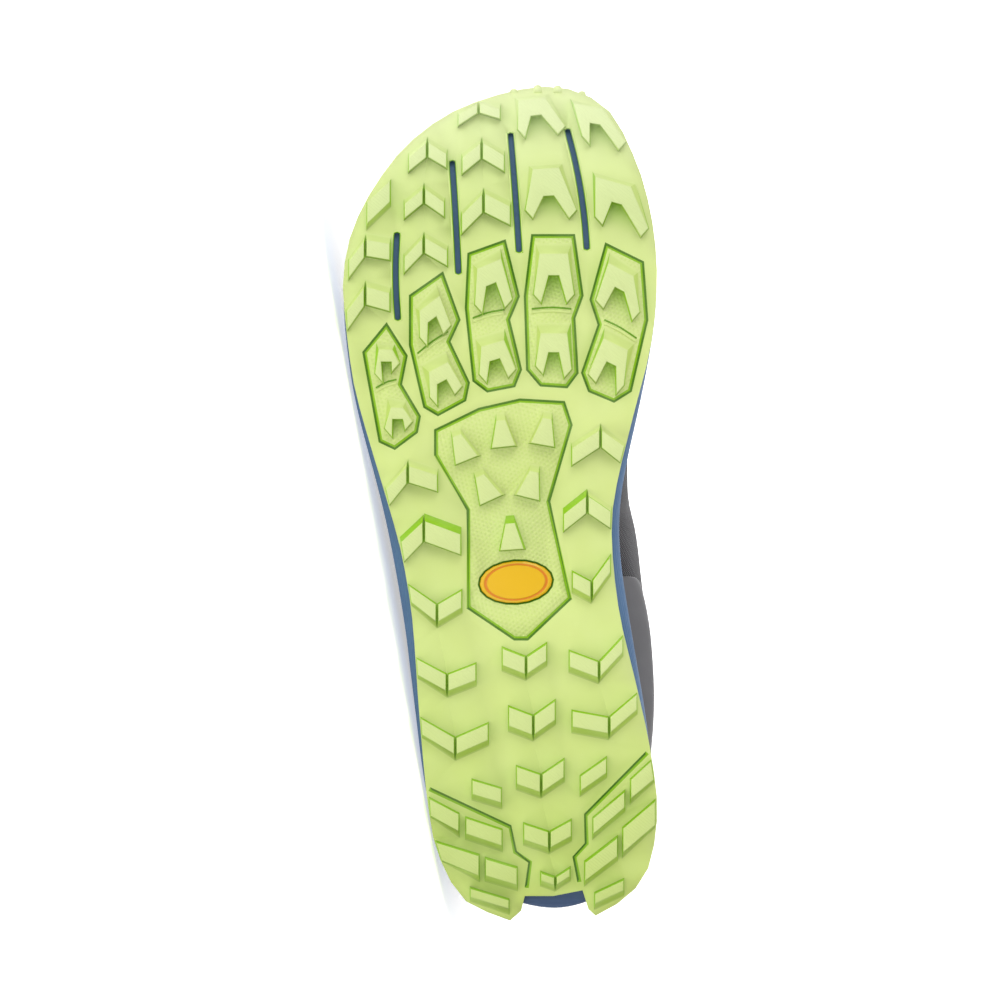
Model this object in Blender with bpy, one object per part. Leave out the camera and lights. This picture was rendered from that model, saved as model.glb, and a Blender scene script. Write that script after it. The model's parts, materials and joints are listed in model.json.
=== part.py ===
# Trail running shoe for the right foot, lying on its outer side.
# Modelled upright first: x runs from heel to toe, y to the big-toe side, z up
# from the plane of the lug tops. An empty then lays the whole shoe down.
import bisect
import math

import bmesh
import bpy
from mathutils import Matrix, Vector
from mathutils.geometry import delaunay_2d_cdt

# Driving dimensions, metres
length = 0.3000              # heel pads to toe wrap
ball_width = 0.1121          # rubber at the ball
lug_height = 0.0042
rubber = 0.0020              # outsole between the lugs
foam = 0.0150                # midsole under the heel
rim_height = 0.0065          # foam cup above the footbed
rim_width = 0.0032
footbed_foam = 0.0040        # insole
insole_bevel = 0.0008
wall = 0.0020                # upper
collar_pad = 0.0034          # extra thickness of the padded collar
collar_height = 0.0800       # collar at the heel, above the midsole's footbed
collar_ends = (0.225, 0.785) # where the padding ends, share of the way round
collar_fade = 0.05
collar_edge = 0.45           # share of the padding left at the very edge
collar_from = 0.35           # padding starts at this share of the upper's height
collar_grown = 0.40          # and is full this much higher
toe_spring = 0.0220
heel_bevel = 0.0060
arch_lift = 0.0012
overlay = 0.0012             # toe guard, counter and facings
overlay_gap = 0.0008         # under them
tongue_thick = 0.0042
tongue_rise = 0.0220         # tongue above the top eyelets
lace_width = 0.0060
lace_thick = 0.0016
eyelet_radius = 0.0034
eyelet_hole = 0.0019
eyelet_height = 0.0009
eyelet_sides = 8
groove_width = 0.0134 * ball_width
groove_depth = 0.0011
groove_start = 0.03          # share of its first stretch by which a pad's groove starts inside
groove_end = 0.10            # and of its last one
slot_width = 0.0026
lip_height = 0.0100          # toe wrap above the outsole
lip_thick = 0.0020
lip_lean = 0.08              # slope of the wrap's outer face
lip_from = 0.925             # along: the wrap stands up round the toe from here
lip_fade = 5                 # edge points over which it rises
inlay_length = 0.0260
inlay_width = 0.0150
inlay_thick = 0.0008
gap = 0.0003                 # between pieces that touch
lying_side = -0.8            # the side it rests on faces at least this much outward

# Shaping of the tread
lug_slope = 0.0028           # sloped side of a lug, in plan
lug_draft = 0.0004           # steep sides
edge_inset = 0.0006          # lugs stay this far inside the rubber's edge
split = 0.0010               # between the two wings of a chevron
inlay_at = (0.404, -0.016)   # along, across
inlay_turn = math.radians(86)

# Shape of the mesh
columns = 64                 # round the shoe
rib_rows = 8                 # up the upper
grid_step = 0.008            # inner points of flat sheets
grid_margin = 0.004          # and how far they keep from the loops
grid_wide = 3                # grid steps between points where a sheet is flat
flat_part = (0.10, 0.70)     # along
edge_step = 0.0085
weld = 1e-7

# Rubber's edge from the outer heel pad round the toe to the inner one,
# shares of length and ball width
rubber_edge = [
    # along, across
    (0.000, -0.035), (0.010, -0.106), (0.024, -0.177), (0.053, -0.232),
    (0.096, -0.277), (0.147, -0.299), (0.207, -0.315), (0.267, -0.328),
    (0.363, -0.347), (0.442, -0.383), (0.514, -0.437), (0.587, -0.495),
    (0.644, -0.534), (0.716, -0.559), (0.766, -0.566), (0.820, -0.540),
    (0.877, -0.466), (0.933, -0.347), (0.976, -0.170), (0.999, 0.085),
    (0.976, 0.264), (0.918, 0.357), (0.850, 0.412), (0.772, 0.434),
    (0.688, 0.415), (0.601, 0.357), (0.514, 0.302), (0.457, 0.289),
    (0.370, 0.312), (0.288, 0.363), (0.212, 0.408), (0.135, 0.434),
    (0.067, 0.408), (0.030, 0.341), (0.006, 0.238)]
# Recess in the rubber between the two heel pads
heel_notch = [
    # along, across
    (0.014, 0.215), (0.037, 0.196), (0.030, 0.103), (0.030, 0.012), (0.012, 0.000)]
# Widest line of the foam, from the heel's middle over the outer side
foam_edge = [
    # along, across
    (0.011, 0.106), (0.020, -0.010), (0.034, -0.110), (0.060, -0.215),
    (0.105, -0.272), (0.165, -0.312), (0.269, -0.347), (0.370, -0.383),
    (0.486, -0.441), (0.601, -0.521), (0.659, -0.550), (0.740, -0.570),
    (0.814, -0.547), (0.877, -0.463), (0.930, -0.310), (0.963, -0.145),
    (0.980, 0.030), (0.966, 0.195), (0.928, 0.310), (0.870, 0.385),
    (0.803, 0.428), (0.730, 0.436), (0.630, 0.392), (0.514, 0.326),
    (0.440, 0.320), (0.349, 0.356), (0.226, 0.408), (0.140, 0.418),
    (0.080, 0.385), (0.040, 0.305), (0.020, 0.215)]
# Side of the foam from the rubber up to the rim
foam_side = [
    # share of the height, share of the way out to the widest line, lean inward in metres
    (0.00, 0.00, 0.0006), (0.12, 0.50, 0.0000), (0.28, 1.00, 0.0000), (0.34, 1.00, 0.0011),
    (0.40, 1.00, 0.0004), (0.54, 1.00, 0.0008), (0.60, 1.00, 0.0018), (0.66, 1.00, 0.0012),
    (1.00, 1.00, 0.0034)]
heel_lean = 0.0030           # more lean of the foam at the heel's end

# Ribs of the upper: each starts at the midsole and ends at the opening's edge
ribs = [
    # around, edge along, edge across, edge height, rise, out, edge out, edge down
    (0.000, 0.047, 0.092, 1.000, 0.30, 0.050, 0.027, 0.32),
    (0.040, 0.063, -0.085, 0.975, 0.28, 0.036, 0.028, 0.32),
    (0.085, 0.120, -0.208, 0.880, 0.23, 0.030, 0.026, 0.30),
    (0.130, 0.210, -0.262, 0.775, 0.19, 0.066, 0.044, 0.27),
    (0.175, 0.307, -0.278, 0.790, 0.24, 0.096, 0.090, 0.28),
    (0.215, 0.393, -0.240, 0.940, 0.24, 0.088, 0.150, 0.26),
    (0.245, 0.453, -0.190, 1.030, 0.22, 0.060, 0.165, 0.18),
    (0.285, 0.533, -0.145, 0.955, 0.25, 0.045, 0.190, 0.14),
    (0.330, 0.623, -0.103, 0.815, 0.26, 0.036, 0.196, 0.12),
    (0.380, 0.677, -0.071, 0.715, 0.26, 0.027, 0.232, 0.08),
    (0.430, 0.693, -0.040, 0.682, 0.26, 0.022, 0.285, 0.06),
    (0.500, 0.702, 0.004, 0.665, 0.26, 0.018, 0.357, 0.05),
    (0.560, 0.698, 0.045, 0.670, 0.26, 0.018, 0.321, 0.05),
    (0.610, 0.687, 0.089, 0.700, 0.26, 0.020, 0.250, 0.07),
    (0.655, 0.657, 0.120, 0.762, 0.26, 0.027, 0.196, 0.10),
    (0.705, 0.587, 0.152, 0.900, 0.26, 0.072, 0.198, 0.13),
    (0.745, 0.510, 0.190, 0.985, 0.24, 0.145, 0.213, 0.17),
    (0.775, 0.453, 0.230, 1.032, 0.22, 0.182, 0.205, 0.20),
    (0.815, 0.380, 0.288, 0.945, 0.20, 0.310, 0.235, 0.25),
    (0.855, 0.293, 0.330, 0.825, 0.19, 0.255, 0.160, 0.27),
    (0.900, 0.197, 0.326, 0.800, 0.19, 0.118, 0.075, 0.27),
    (0.945, 0.110, 0.272, 0.888, 0.23, 0.071, 0.045, 0.30),
    (0.975, 0.063, 0.183, 0.975, 0.28, 0.055, 0.036, 0.32)]

# Lugs of two wings that meet in a point: toe side of the point, then how far
# each wing reaches across and falls back towards the heel, and its chord
chevrons = [
    # along, across, outer reach, outer fall, inner reach, inner fall, chord
    (0.978, -0.135, 0.064, 0.016, 0.068, 0.008, 0.012),
    (0.929, -0.299, 0.058, 0.018, 0.061, 0.014, 0.017),
    (0.929, -0.125, 0.061, 0.019, 0.071, 0.016, 0.019),
    (0.873, -0.309, 0.061, 0.019, 0.064, 0.017, 0.017),
    (0.867, -0.119, 0.068, 0.026, 0.084, 0.016, 0.022),
    (0.814, -0.309, 0.061, 0.024, 0.074, 0.016, 0.018),
    (0.811, -0.495, 0.051, 0.026, 0.077, 0.005, 0.019),
    (0.755, -0.495, 0.058, 0.030, 0.077, 0.008, 0.021),
    (0.542, -0.360, 0.068, 0.028, 0.093, 0.011, 0.019),
    (0.477, -0.309, 0.071, 0.025, 0.116, 0.016, 0.024),
    (0.585, 0.253, 0.090, 0.022, 0.077, 0.020, 0.020),
    (0.507, 0.211, 0.074, 0.022, 0.074, 0.019, 0.020),
    (0.377, -0.267, 0.093, -0.023, 0.077, -0.017, 0.020),
    (0.404, 0.225, 0.060, -0.012, 0.058, -0.030, 0.018),
    (0.294, -0.235, 0.103, -0.019, 0.090, -0.013, 0.019),
    (0.315, 0.016, 0.074, -0.011, 0.064, -0.016, 0.020),
    (0.309, 0.248, 0.093, -0.013, 0.074, -0.030, 0.018),
    (0.219, -0.209, 0.119, -0.023, 0.103, -0.017, 0.019),
    (0.245, 0.039, 0.077, -0.011, 0.068, -0.018, 0.022),
    (0.243, 0.280, 0.116, -0.008, 0.087, -0.028, 0.018),
    (0.175, 0.064, 0.077, -0.010, 0.071, -0.018, 0.020),
    (0.107, 0.090, 0.080, -0.010, 0.068, -0.014, 0.018),
    (0.053, 0.109, 0.045, -0.006, 0.045, -0.011, 0.009)]
# Single slanted bars
bars = [
    # along, across at the outer end, along, across at the inner end, chord
    (0.856, -0.489, 0.882, -0.418, 0.025),
    (0.169, -0.154, 0.159, -0.064, 0.016),
    (0.174, 0.190, 0.195, 0.270, 0.017),
    (0.147, -0.290, 0.129, -0.199, 0.020),
    (0.124, -0.174, 0.110, -0.062, 0.018),
    (0.096, -0.270, 0.080, -0.135, 0.024),
    (0.076, -0.112, 0.065, -0.014, 0.020),
    (0.170, 0.350, 0.192, 0.420, 0.022),
    (0.124, 0.230, 0.155, 0.328, 0.018),
    (0.112, 0.325, 0.144, 0.425, 0.028),
    (0.072, 0.204, 0.101, 0.305, 0.022),
    (0.040, -0.160, 0.026, -0.040, 0.010),
    (0.034, 0.236, 0.050, 0.325, 0.012)]
# Forked lugs: a flat toe-side edge and two legs towards the heel
forks = [
    # along, across, half top, slant, outer tip across, back, inner tip across, back, crotch
    (0.982, 0.035, 0.042, 0.002, -0.021, 0.047, 0.084, 0.043, 0.44),
    (0.974, 0.215, 0.046, -0.003, 0.005, 0.047, 0.098, 0.054, 0.44),
    (0.897, 0.080, 0.042, 0.001, -0.042, 0.060, 0.074, 0.060, 0.55),
    (0.881, 0.294, 0.056, -0.006, -0.034, 0.052, 0.088, 0.066, 0.44),
    (0.680, -0.430, 0.022, 0.000, -0.010, 0.038, 0.020, 0.026, 0.44),
    (0.611, -0.394, 0.020, 0.000, -0.016, 0.034, 0.026, 0.026, 0.44),
    (0.735, -0.290, 0.032, 0.009, -0.008, 0.050, 0.044, 0.036, 0.44),
    (0.659, -0.262, 0.030, 0.006, -0.004, 0.045, 0.052, 0.032, 0.44),
    (0.782, -0.101, 0.038, 0.006, -0.022, 0.058, 0.050, 0.052, 0.44),
    (0.687, -0.090, 0.036, 0.004, -0.019, 0.046, 0.050, 0.040, 0.44),
    (0.794, 0.104, 0.045, 0.000, -0.040, 0.058, 0.042, 0.058, 0.44),
    (0.699, 0.104, 0.042, 0.000, -0.034, 0.048, 0.034, 0.052, 0.44),
    (0.775, 0.318, 0.040, -0.008, -0.056, 0.046, 0.036, 0.060, 0.44),
    (0.686, 0.300, 0.038, -0.007, -0.062, 0.045, 0.004, 0.058, 0.44)]
fork_shoulder = 0.023 * ball_width  # a leg's outer corner stands this far out from its tip
fork_heel = 0.0030           # and this far toe-side of it
fork_crotch_half = 0.017 * ball_width
# Foot of a fork's toe side, outside its top: towards the toe and sideways
fork_run = (0.0018, 0.0015)
pod_fork_run = (0.0040, 0.0014)
pod_margin = 0.0003          # between a pod's groove and the feet of its forks
# Small wedges on the middle panel: middle of the toe side
wedges = [
    # along, across, turn in degrees
    (0.578, -0.204, -22), (0.596, -0.064, -6), (0.598, 0.083, 10),
    (0.530, -0.131, -25), (0.535, 0.042, 14), (0.474, -0.034, -4)]
wedge_top = 0.029 * ball_width
wedge_foot = 0.075 * ball_width
wedge_length = 0.0094
# Grooves that bound the five pods and the middle panel
pods = [
    # along, across, point by point
    [(0.709, -0.428), (0.673, -0.367), (0.639, -0.385), (0.601, -0.325), (0.583, -0.334),
     (0.564, -0.402), (0.572, -0.447), (0.677, -0.498)],
    [(0.770, -0.251), (0.716, -0.199), (0.690, -0.231), (0.641, -0.169), (0.621, -0.180),
     (0.604, -0.264), (0.613, -0.305), (0.686, -0.350), (0.744, -0.350)],
    [(0.809, -0.053), (0.744, -0.010), (0.716, -0.041), (0.657, -0.003), (0.638, -0.023),
     (0.632, -0.106), (0.644, -0.148), (0.730, -0.172), (0.794, -0.164)],
    [(0.816, 0.039), (0.816, 0.167), (0.745, 0.193), (0.718, 0.167), (0.653, 0.177),
     (0.637, 0.145), (0.639, 0.064), (0.657, 0.023), (0.744, 0.016)],
    [(0.805, 0.273), (0.784, 0.386), (0.716, 0.399), (0.632, 0.347), (0.620, 0.296),
     (0.632, 0.219), (0.653, 0.198), (0.710, 0.251), (0.740, 0.225)]]
panel = [
    # along, across
    (0.584, -0.270), (0.609, -0.132), (0.620, -0.003), (0.617, 0.135), (0.591, 0.158),
    (0.500, 0.087), (0.385, 0.156), (0.337, 0.020), (0.337, -0.020), (0.374, -0.167),
    (0.490, -0.167), (0.555, -0.270)]
# Grooves on the toe side of the heel pads, from the rubber's edge to the notch
pad_grooves = [
    # along, across, point by point
    [(0.158, -0.292), (0.113, -0.035), (0.083, -0.019), (0.071, 0.029), (0.040, 0.018)],
    [(0.201, 0.402), (0.127, 0.206), (0.093, 0.209), (0.077, 0.170), (0.047, 0.186)]]
# Slots through the rubber
slots = [
    # along, across at the toe end, along, across at the heel end, sideways bow
    (0.817, -0.395, 0.719, -0.392, -0.005), (0.904, -0.219, 0.774, -0.199, 0.001),
    (0.938, -0.032, 0.800, -0.006, 0.001), (0.943, 0.151, 0.803, 0.210, 0.010)]

# Overlays on the upper, in ribs from the heel and rows up from the midsole
guard_ribs = (25, 40)
counter_ribs = (-13, 9)
counter_half = 5.5           # ribs over which it falls to the strip's height
facing_ribs = (15.4, 49.6)
overlay_low = 0.35
guard_high = 2.5
guard_end = 1.0
counter_high = 4.4
counter_strip = 1.7
facing_low = 6.35
facing_high = 7.9
overlay_rows = 3             # rows of faces up an overlay
# Eyelets along the throat, and the row of the facing that holds them
eyelet_along = (0.644, 0.603, 0.562, 0.521, 0.480)
eyelet_row = 7.1
lace_bow = 0.0034            # height of a lace over the straight line between its eyelets
lace_layer = 0.0003          # each crossing lies this much above the one before
lace_lift = 5 * gap          # a lace's end over its eyelet
lace_path = [
    # share of the way across (0 at the starting eyelet, 1 at the other), row
    (-0.03, 6.8), (0.04, 7.45), (0.20, 8.0), (0.80, 8.0), (0.96, 7.45), (1.03, 6.8)]
tongue_front = 0.676         # first section under the facing, along
tongue_back = 0.463
tongue_sections = 7
tongue_rows = (6.5, 7.2)     # rows of the upper that the tongue's edge lies under
tongue_narrow = 0.5          # share of those rows by which it is narrower at the back
tongue_under = -wall - 5 * gap
tongue_crown = 0.0030
tongue_dip = 0.0026          # its front end lies this much deeper
tongue_thin = 0.55           # share of the thickness at both ends
tongue_edge = 0.60           # and along the sides
tongue_way = (-0.35, 0.94)   # along and up: where its free end points
tongue_tip = [
    # share of the rise, share of the width
    (0.30, 0.90), (0.70, 0.78), (0.92, 0.64), (1.00, 0.42)]
tongue_curl = 0.0020         # the tip's sides bend up

# Colours: red, green, blue, then roughness
lime = (0.66, 0.80, 0.26, 0.55)
blue = (0.075, 0.155, 0.30, 0.60)
grey = (0.075, 0.072, 0.078, 0.85)
light_grey = (0.16, 0.16, 0.17, 0.60)
black = (0.02, 0.02, 0.022, 0.80)
amber = (0.95, 0.55, 0.02, 0.45)


def plan(along, across):
    """Turn shares of length and ball width into a point in plan."""
    return Vector((along * length, across * ball_width))


def spline(a, b, c, d, s):
    """Smooth curve from b to c at share s."""
    return 0.5 * (2 * b + (c - a) * s + (2 * a - 5 * b + 4 * c - d) * s * s
                  + (3 * b - a - 3 * c + d) * s ** 3)


def smooth(points, closed, fine=12):
    """Run a fine smooth curve through points."""
    count = len(points)
    dense = []
    for i in range(count if closed else count - 1):
        if closed:
            four = [points[(i + k) % count] for k in (-1, 0, 1, 2)]
        else:
            four = [points[min(max(i + k, 0), count - 1)] for k in (-1, 0, 1, 2)]
        dense.extend(spline(*four, k / fine) for k in range(fine))
    if not closed:
        dense.append(points[-1])
    return dense


def spaced(points, count, closed):
    """Pick points at even distances along a fine curve."""
    path = points + points[:1] if closed else points
    run = [0.0]
    for a, b in zip(path, path[1:]):
        run.append(run[-1] + (b - a).length)
    picked = []
    for k in range(count):
        at = run[-1] * k / (count if closed else count - 1)
        j = min(bisect.bisect_right(run, at), len(run) - 1)
        share = (at - run[j - 1]) / (run[j] - run[j - 1])
        picked.append(path[j - 1].lerp(path[j], share))
    return picked


def outward(loop, i):
    """Outward direction in plan at a point of a loop that runs anticlockwise."""
    along = loop[(i + 1) % len(loop)] - loop[i - 1]
    return Vector((along.y, -along.x)).normalized()


def swell(loop, distance):
    """Move every point of a loop outward."""
    return [p + outward(loop, i) * distance for i, p in enumerate(loop)]


def anticlockwise(poly):
    area = sum(a.x * b.y - b.x * a.y for a, b in zip(poly, poly[1:] + poly[:1]))
    return poly if area > 0 else poly[::-1]


def edge_normals(poly):
    normals = []
    for a, b in zip(poly, poly[1:] + poly[:1]):
        d = (b - a).normalized()
        normals.append(Vector((d.y, -d.x)))
    return normals


def offset(poly, amounts):
    """Move each side of a polygon outward by its own amount."""
    normals = edge_normals(poly)
    moved = []
    for i, p in enumerate(poly):
        m, n = normals[i - 1], normals[i]
        cross = m.x * n.y - m.y * n.x
        if abs(cross) < 0.08:
            moved.append(p + n * amounts[i])
            continue
        # The point that lies amounts[i-1] beyond one side and amounts[i] beyond the next
        u, v = amounts[i - 1], amounts[i]
        moved.append(p + Vector((u * n.y - v * m.y, v * m.x - u * n.x)) / cross)
    return moved


def inside(point, poly):
    hit = False
    for a, b in zip(poly, poly[1:] + poly[:1]):
        if (a.y > point.y) != (b.y > point.y):
            if point.x < a.x + (point.y - a.y) / (b.y - a.y) * (b.x - a.x):
                hit = not hit
    return hit


def nearest(point, poly):
    """Nearest point on a polygon's sides."""
    best = None
    for a, b in zip(poly, poly[1:] + poly[:1]):
        side = b - a
        share = min(max((point - a).dot(side) / side.length_squared, 0.0), 1.0)
        spot = a + side * share
        if best is None or (spot - point).length < (best - point).length:
            best = spot
    return best


def keep_inside(poly, limit):
    return [p if inside(p, limit) else nearest(p, limit) for p in poly]


def pulled_back(start, end, limit):
    """End of a short run, drawn back towards its start until it is inside a limit."""
    for _ in range(12):
        if inside(end, limit):
            break
        end = start.lerp(end, 0.8)
    return end


def ease(share):
    share = min(max(share, 0.0), 1.0)
    return share * share * (3 - 2 * share)


def ground(x):
    """Height of the lug tops: flat, lifted at the arch, the toe and the heel's end."""
    toe = max(0.0, (x / length - 0.715) / 0.285)
    heel = max(0.0, 1 - x / length / 0.085)
    arch = ease((x / length - 0.32) / 0.10) * ease((0.60 - x / length) / 0.10)
    return toe_spring * toe ** 1.8 + heel_bevel * heel ** 1.6 + arch_lift * arch


def rubber_top(x):
    return ground(x) + lug_height + rubber


def foam_bottom(x):
    return rubber_top(x) + gap


def footbed(x):
    """Foam's upper face: the toe and heel lifts fade, so the foam thins there."""
    toe = max(0.0, (x / length - 0.715) / 0.285)
    return lug_height + rubber + gap + foam + 0.55 * toe_spring * toe ** 1.8


def rim_top(x):
    return footbed(x) + rim_height


# Loops in plan that the pieces share
rubber_curve = smooth([plan(*row) for row in rubber_edge], False)
rubber_count = int(sum((b - a).length for a, b in zip(rubber_curve, rubber_curve[1:])) / edge_step)
rubber_loop = spaced(rubber_curve, rubber_count, False) + [plan(*row) for row in heel_notch]
foam_loop = spaced(smooth([plan(*row) for row in foam_edge], True), columns, True)
rubber_limit = swell(rubber_loop[:rubber_count], -edge_inset)
foam_foot = keep_inside(foam_loop, rubber_limit)
rim_inner = swell(foam_loop, -foam_side[-1][2] - rim_width)
feather = swell(rim_inner, -gap)


class Sheet:
    """Flat-lying net of triangles between loops, with a height at each point."""

    def __init__(self, height):
        self.height = height
        self.points = []
        self.levels = []
        self.sides = []

    def loop(self, poly, level):
        start = len(self.points)
        count = len(poly)
        self.points.extend(poly)
        self.levels.extend([level] * count)
        self.sides.extend((start + i, start + (i + 1) % count) for i in range(count))
        return list(range(start, start + count))

    def line(self, path, level):
        start = len(self.points)
        self.points.extend(path)
        self.levels.extend([level] * len(path))
        self.sides.extend((start + i, start + i + 1) for i in range(len(path) - 1))

    def dots(self, within, holes=()):
        """Fill with a grid of points, clear of every loop."""
        low = Vector((min(p.x for p in within), min(p.y for p in within)))
        high = Vector((max(p.x for p in within), max(p.y for p in within)))
        x = grid_step * math.ceil(low.x / grid_step)
        while x < high.x:
            y = grid_step * math.ceil(low.y / grid_step)
            while y < high.y:
                p = Vector((x, y))
                clear = inside(p, within) and (nearest(p, within) - p).length > grid_margin
                for hole in holes:
                    clear = clear and not inside(p, hole)
                    clear = clear and (nearest(p, hole) - p).length > grid_margin
                curved = not flat_part[0] * length < x < flat_part[1] * length
                if clear and (curved or round(x / grid_step) % grid_wide == 0):
                    self.points.append(p)
                    self.levels.append(0.0)
                y += grid_step
            x += grid_step

    def build(self, bm, keep, up):
        """Add the net to a mesh and return the vertex of each point."""
        flat, sides, faces, origin, _, _ = delaunay_2d_cdt(
            self.points, self.sides, [], 0, weld)
        owner = {}
        verts = []
        for new, old in enumerate(origin):
            level = self.levels[old[0]] if old else 0.0
            verts.append(bm.verts.new((flat[new].x, flat[new].y, self.height(flat[new].x) - level)))
            for k in old:
                owner[k] = verts[-1]
        for face in faces:
            middle = (flat[face[0]] + flat[face[1]] + flat[face[2]]) / 3
            if keep(middle):
                a, b, c = (flat[k] for k in face)
                left = (b - a).cross(c - a) > 0
                order = face if left == up else face[::-1]
                bm.faces.new([verts[k] for k in order])
        for v in [v for v in verts if not v.link_faces]:
            bm.verts.remove(v)
        return owner


def ring(bm, points):
    return [bm.verts.new(p) for p in points]


def face(bm, *corners):
    """Face between corners; where two of them are the same vertex it has one side less."""
    corners = list(dict.fromkeys(corners))
    if len(corners) > 2:
        bm.faces.new(corners)


def bridge(bm, lower, upper, closed=True):
    """Faces between two rows of vertices."""
    count = len(lower)
    for i in range(count if closed else count - 1):
        j = (i + 1) % count
        face(bm, lower[i], lower[j], upper[j], upper[i])


def piece(name, bm, look):
    """Close a mesh into a named object with its own material."""
    mesh = bpy.data.meshes.new(name)
    bmesh.ops.recalc_face_normals(bm, faces=bm.faces[:])
    bm.to_mesh(mesh)
    bm.free()
    obj = bpy.data.objects.new(name, mesh)
    bpy.context.scene.collection.objects.link(obj)
    material = bpy.data.materials.new(name)
    material.use_nodes = True
    shader = material.node_tree.nodes["Principled BSDF"]
    shader.inputs["Base Color"].default_value = look[:3] + (1.0,)
    shader.inputs["Roughness"].default_value = look[3]
    shader.inputs["Metallic"].default_value = 0.0
    mesh.materials.append(material)
    return obj


def stretch_of(path, half):
    """Closed band of a given half width round a path."""
    left = []
    right = []
    for i, p in enumerate(path):
        along = path[min(i + 1, len(path) - 1)] - path[max(i - 1, 0)]
        side = Vector((-along.y, along.x)).normalized() * half
        left.append(p + side)
        right.append(p - side)
    return anticlockwise(left + right[::-1])


def stand(sheet, top, foot):
    """Raise a lug between the outlines of its top and its foot, inside the rubber's edge."""
    limit = swell(rubber_loop[:rubber_count], -0.5 * edge_inset)
    sheet.loop([pulled_back(a, b, limit) for a, b in zip(top, foot)], 0.0)
    sheet.loop(top, lug_height)


def lug(sheet, poly, sloped):
    """Raise a lug whose toe side (sloped = 1) or heel side (-1) is a long slope."""
    top = keep_inside(anticlockwise(poly), rubber_limit)
    slopes = [lug_draft + (lug_slope - lug_draft) * max(0.0, n.x * sloped) ** 2
              for n in edge_normals(top)]
    stand(sheet, top, offset(top, slopes))


def chevron_wings(row):
    along, across, outer_reach, outer_fall, inner_reach, inner_fall, chord = row
    for reach, fall in ((-outer_reach, outer_fall), (inner_reach, inner_fall)):
        side = math.copysign(0.5 * split / ball_width, reach)
        share = side / reach
        near = (along - fall * share, across + side)
        far = (along - fall, across + reach)
        yield [plan(*near), plan(*far), plan(far[0] - chord, far[1]), plan(near[0] - chord, near[1])]


def fork_shape(row):
    along, across, half, slant, outer_a, outer_b, inner_a, inner_b, crotch_at = row
    top = plan(along, across)
    tips = [top + plan(-outer_b, outer_a), top + plan(-inner_b, inner_a)]
    shoulders = [tips[0] + Vector((fork_heel, -fork_shoulder)),
                 tips[1] + Vector((fork_heel, fork_shoulder))]
    middle = top.lerp((tips[0] + tips[1]) / 2, crotch_at)
    lean = Vector((-slant * length, -half * ball_width))
    crotch = lean.normalized() * fork_crotch_half
    return [top + lean, top - lean, shoulders[1], tips[1], middle - crotch, middle + crotch,
            tips[0], shoulders[0]]


def fork(sheet, row):
    """Raise a forked lug, its foot spread out at the toe side as far as its pod lets it."""
    top = keep_inside(fork_shape(row), rubber_limit)
    foot = offset(top, [lug_draft] * len(top))
    around = [pod for pod in ([plan(*p) for p in pod] for pod in pods) if inside(top[0], pod)]
    run, spread = pod_fork_run if around else fork_run
    edge = (top[1] - top[0]).normalized()
    ahead = Vector((edge.y, -edge.x))
    for corner, side in ((0, -1), (1, 1)):
        foot[corner] = top[corner] + ahead * run + edge * spread * side
        for pod in around:
            room = swell(anticlockwise(pod), -0.5 * groove_width - pod_margin)
            foot[corner] = pulled_back(top[corner], foot[corner], room)
    stand(sheet, top, foot)


def wedge_shape(along, across, turn):
    spin = Matrix.Rotation(math.radians(turn), 2)
    corners = ((0, -wedge_top / 2), (0, wedge_top / 2), (-wedge_length, wedge_foot / 2),
               (-wedge_length, -wedge_foot / 2))
    return [plan(along, across) + spin @ Vector(c) for c in corners]


def groove(sheet, poly):
    """Sink a narrow trough along a closed polygon."""
    poly = anticlockwise(poly)
    half = [0.5 * groove_width] * len(poly)
    sheet.loop(offset(poly, half), 0.0)
    sheet.loop(poly, -groove_depth)
    sheet.loop(offset(poly, [-h for h in half]), 0.0)


def slot_shape(row):
    """Long, slightly bowed hole with round ends."""
    toe, heel, bow = plan(*row[:2]), plan(*row[2:4]), row[4] * ball_width
    way = (toe - heel).normalized()
    side = Vector((-way.y, way.x))
    poly = []
    steps = round((toe - heel).length / grid_step)
    for end, other, turn in ((toe, heel, 0.0), (heel, toe, math.pi)):
        for k in range(5):
            angle = turn - math.pi / 2 + k * math.pi / 4
            poly.append(end + (way * math.cos(angle) + side * math.sin(angle)) * slot_width / 2)
        edge = math.cos(turn) * slot_width / 2
        for k in range(1, steps):
            share = k / steps
            poly.append(end.lerp(other, share) + side * (edge + 4 * bow * share * (1 - share)))
    return anticlockwise(poly)


def oval(long_half, short_half, count=20):
    spin = Matrix.Rotation(inlay_turn, 2)
    return [plan(*inlay_at) + spin @ Vector((long_half * math.cos(k * math.tau / count),
                                             short_half * math.sin(k * math.tau / count)))
            for k in range(count)]


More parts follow.
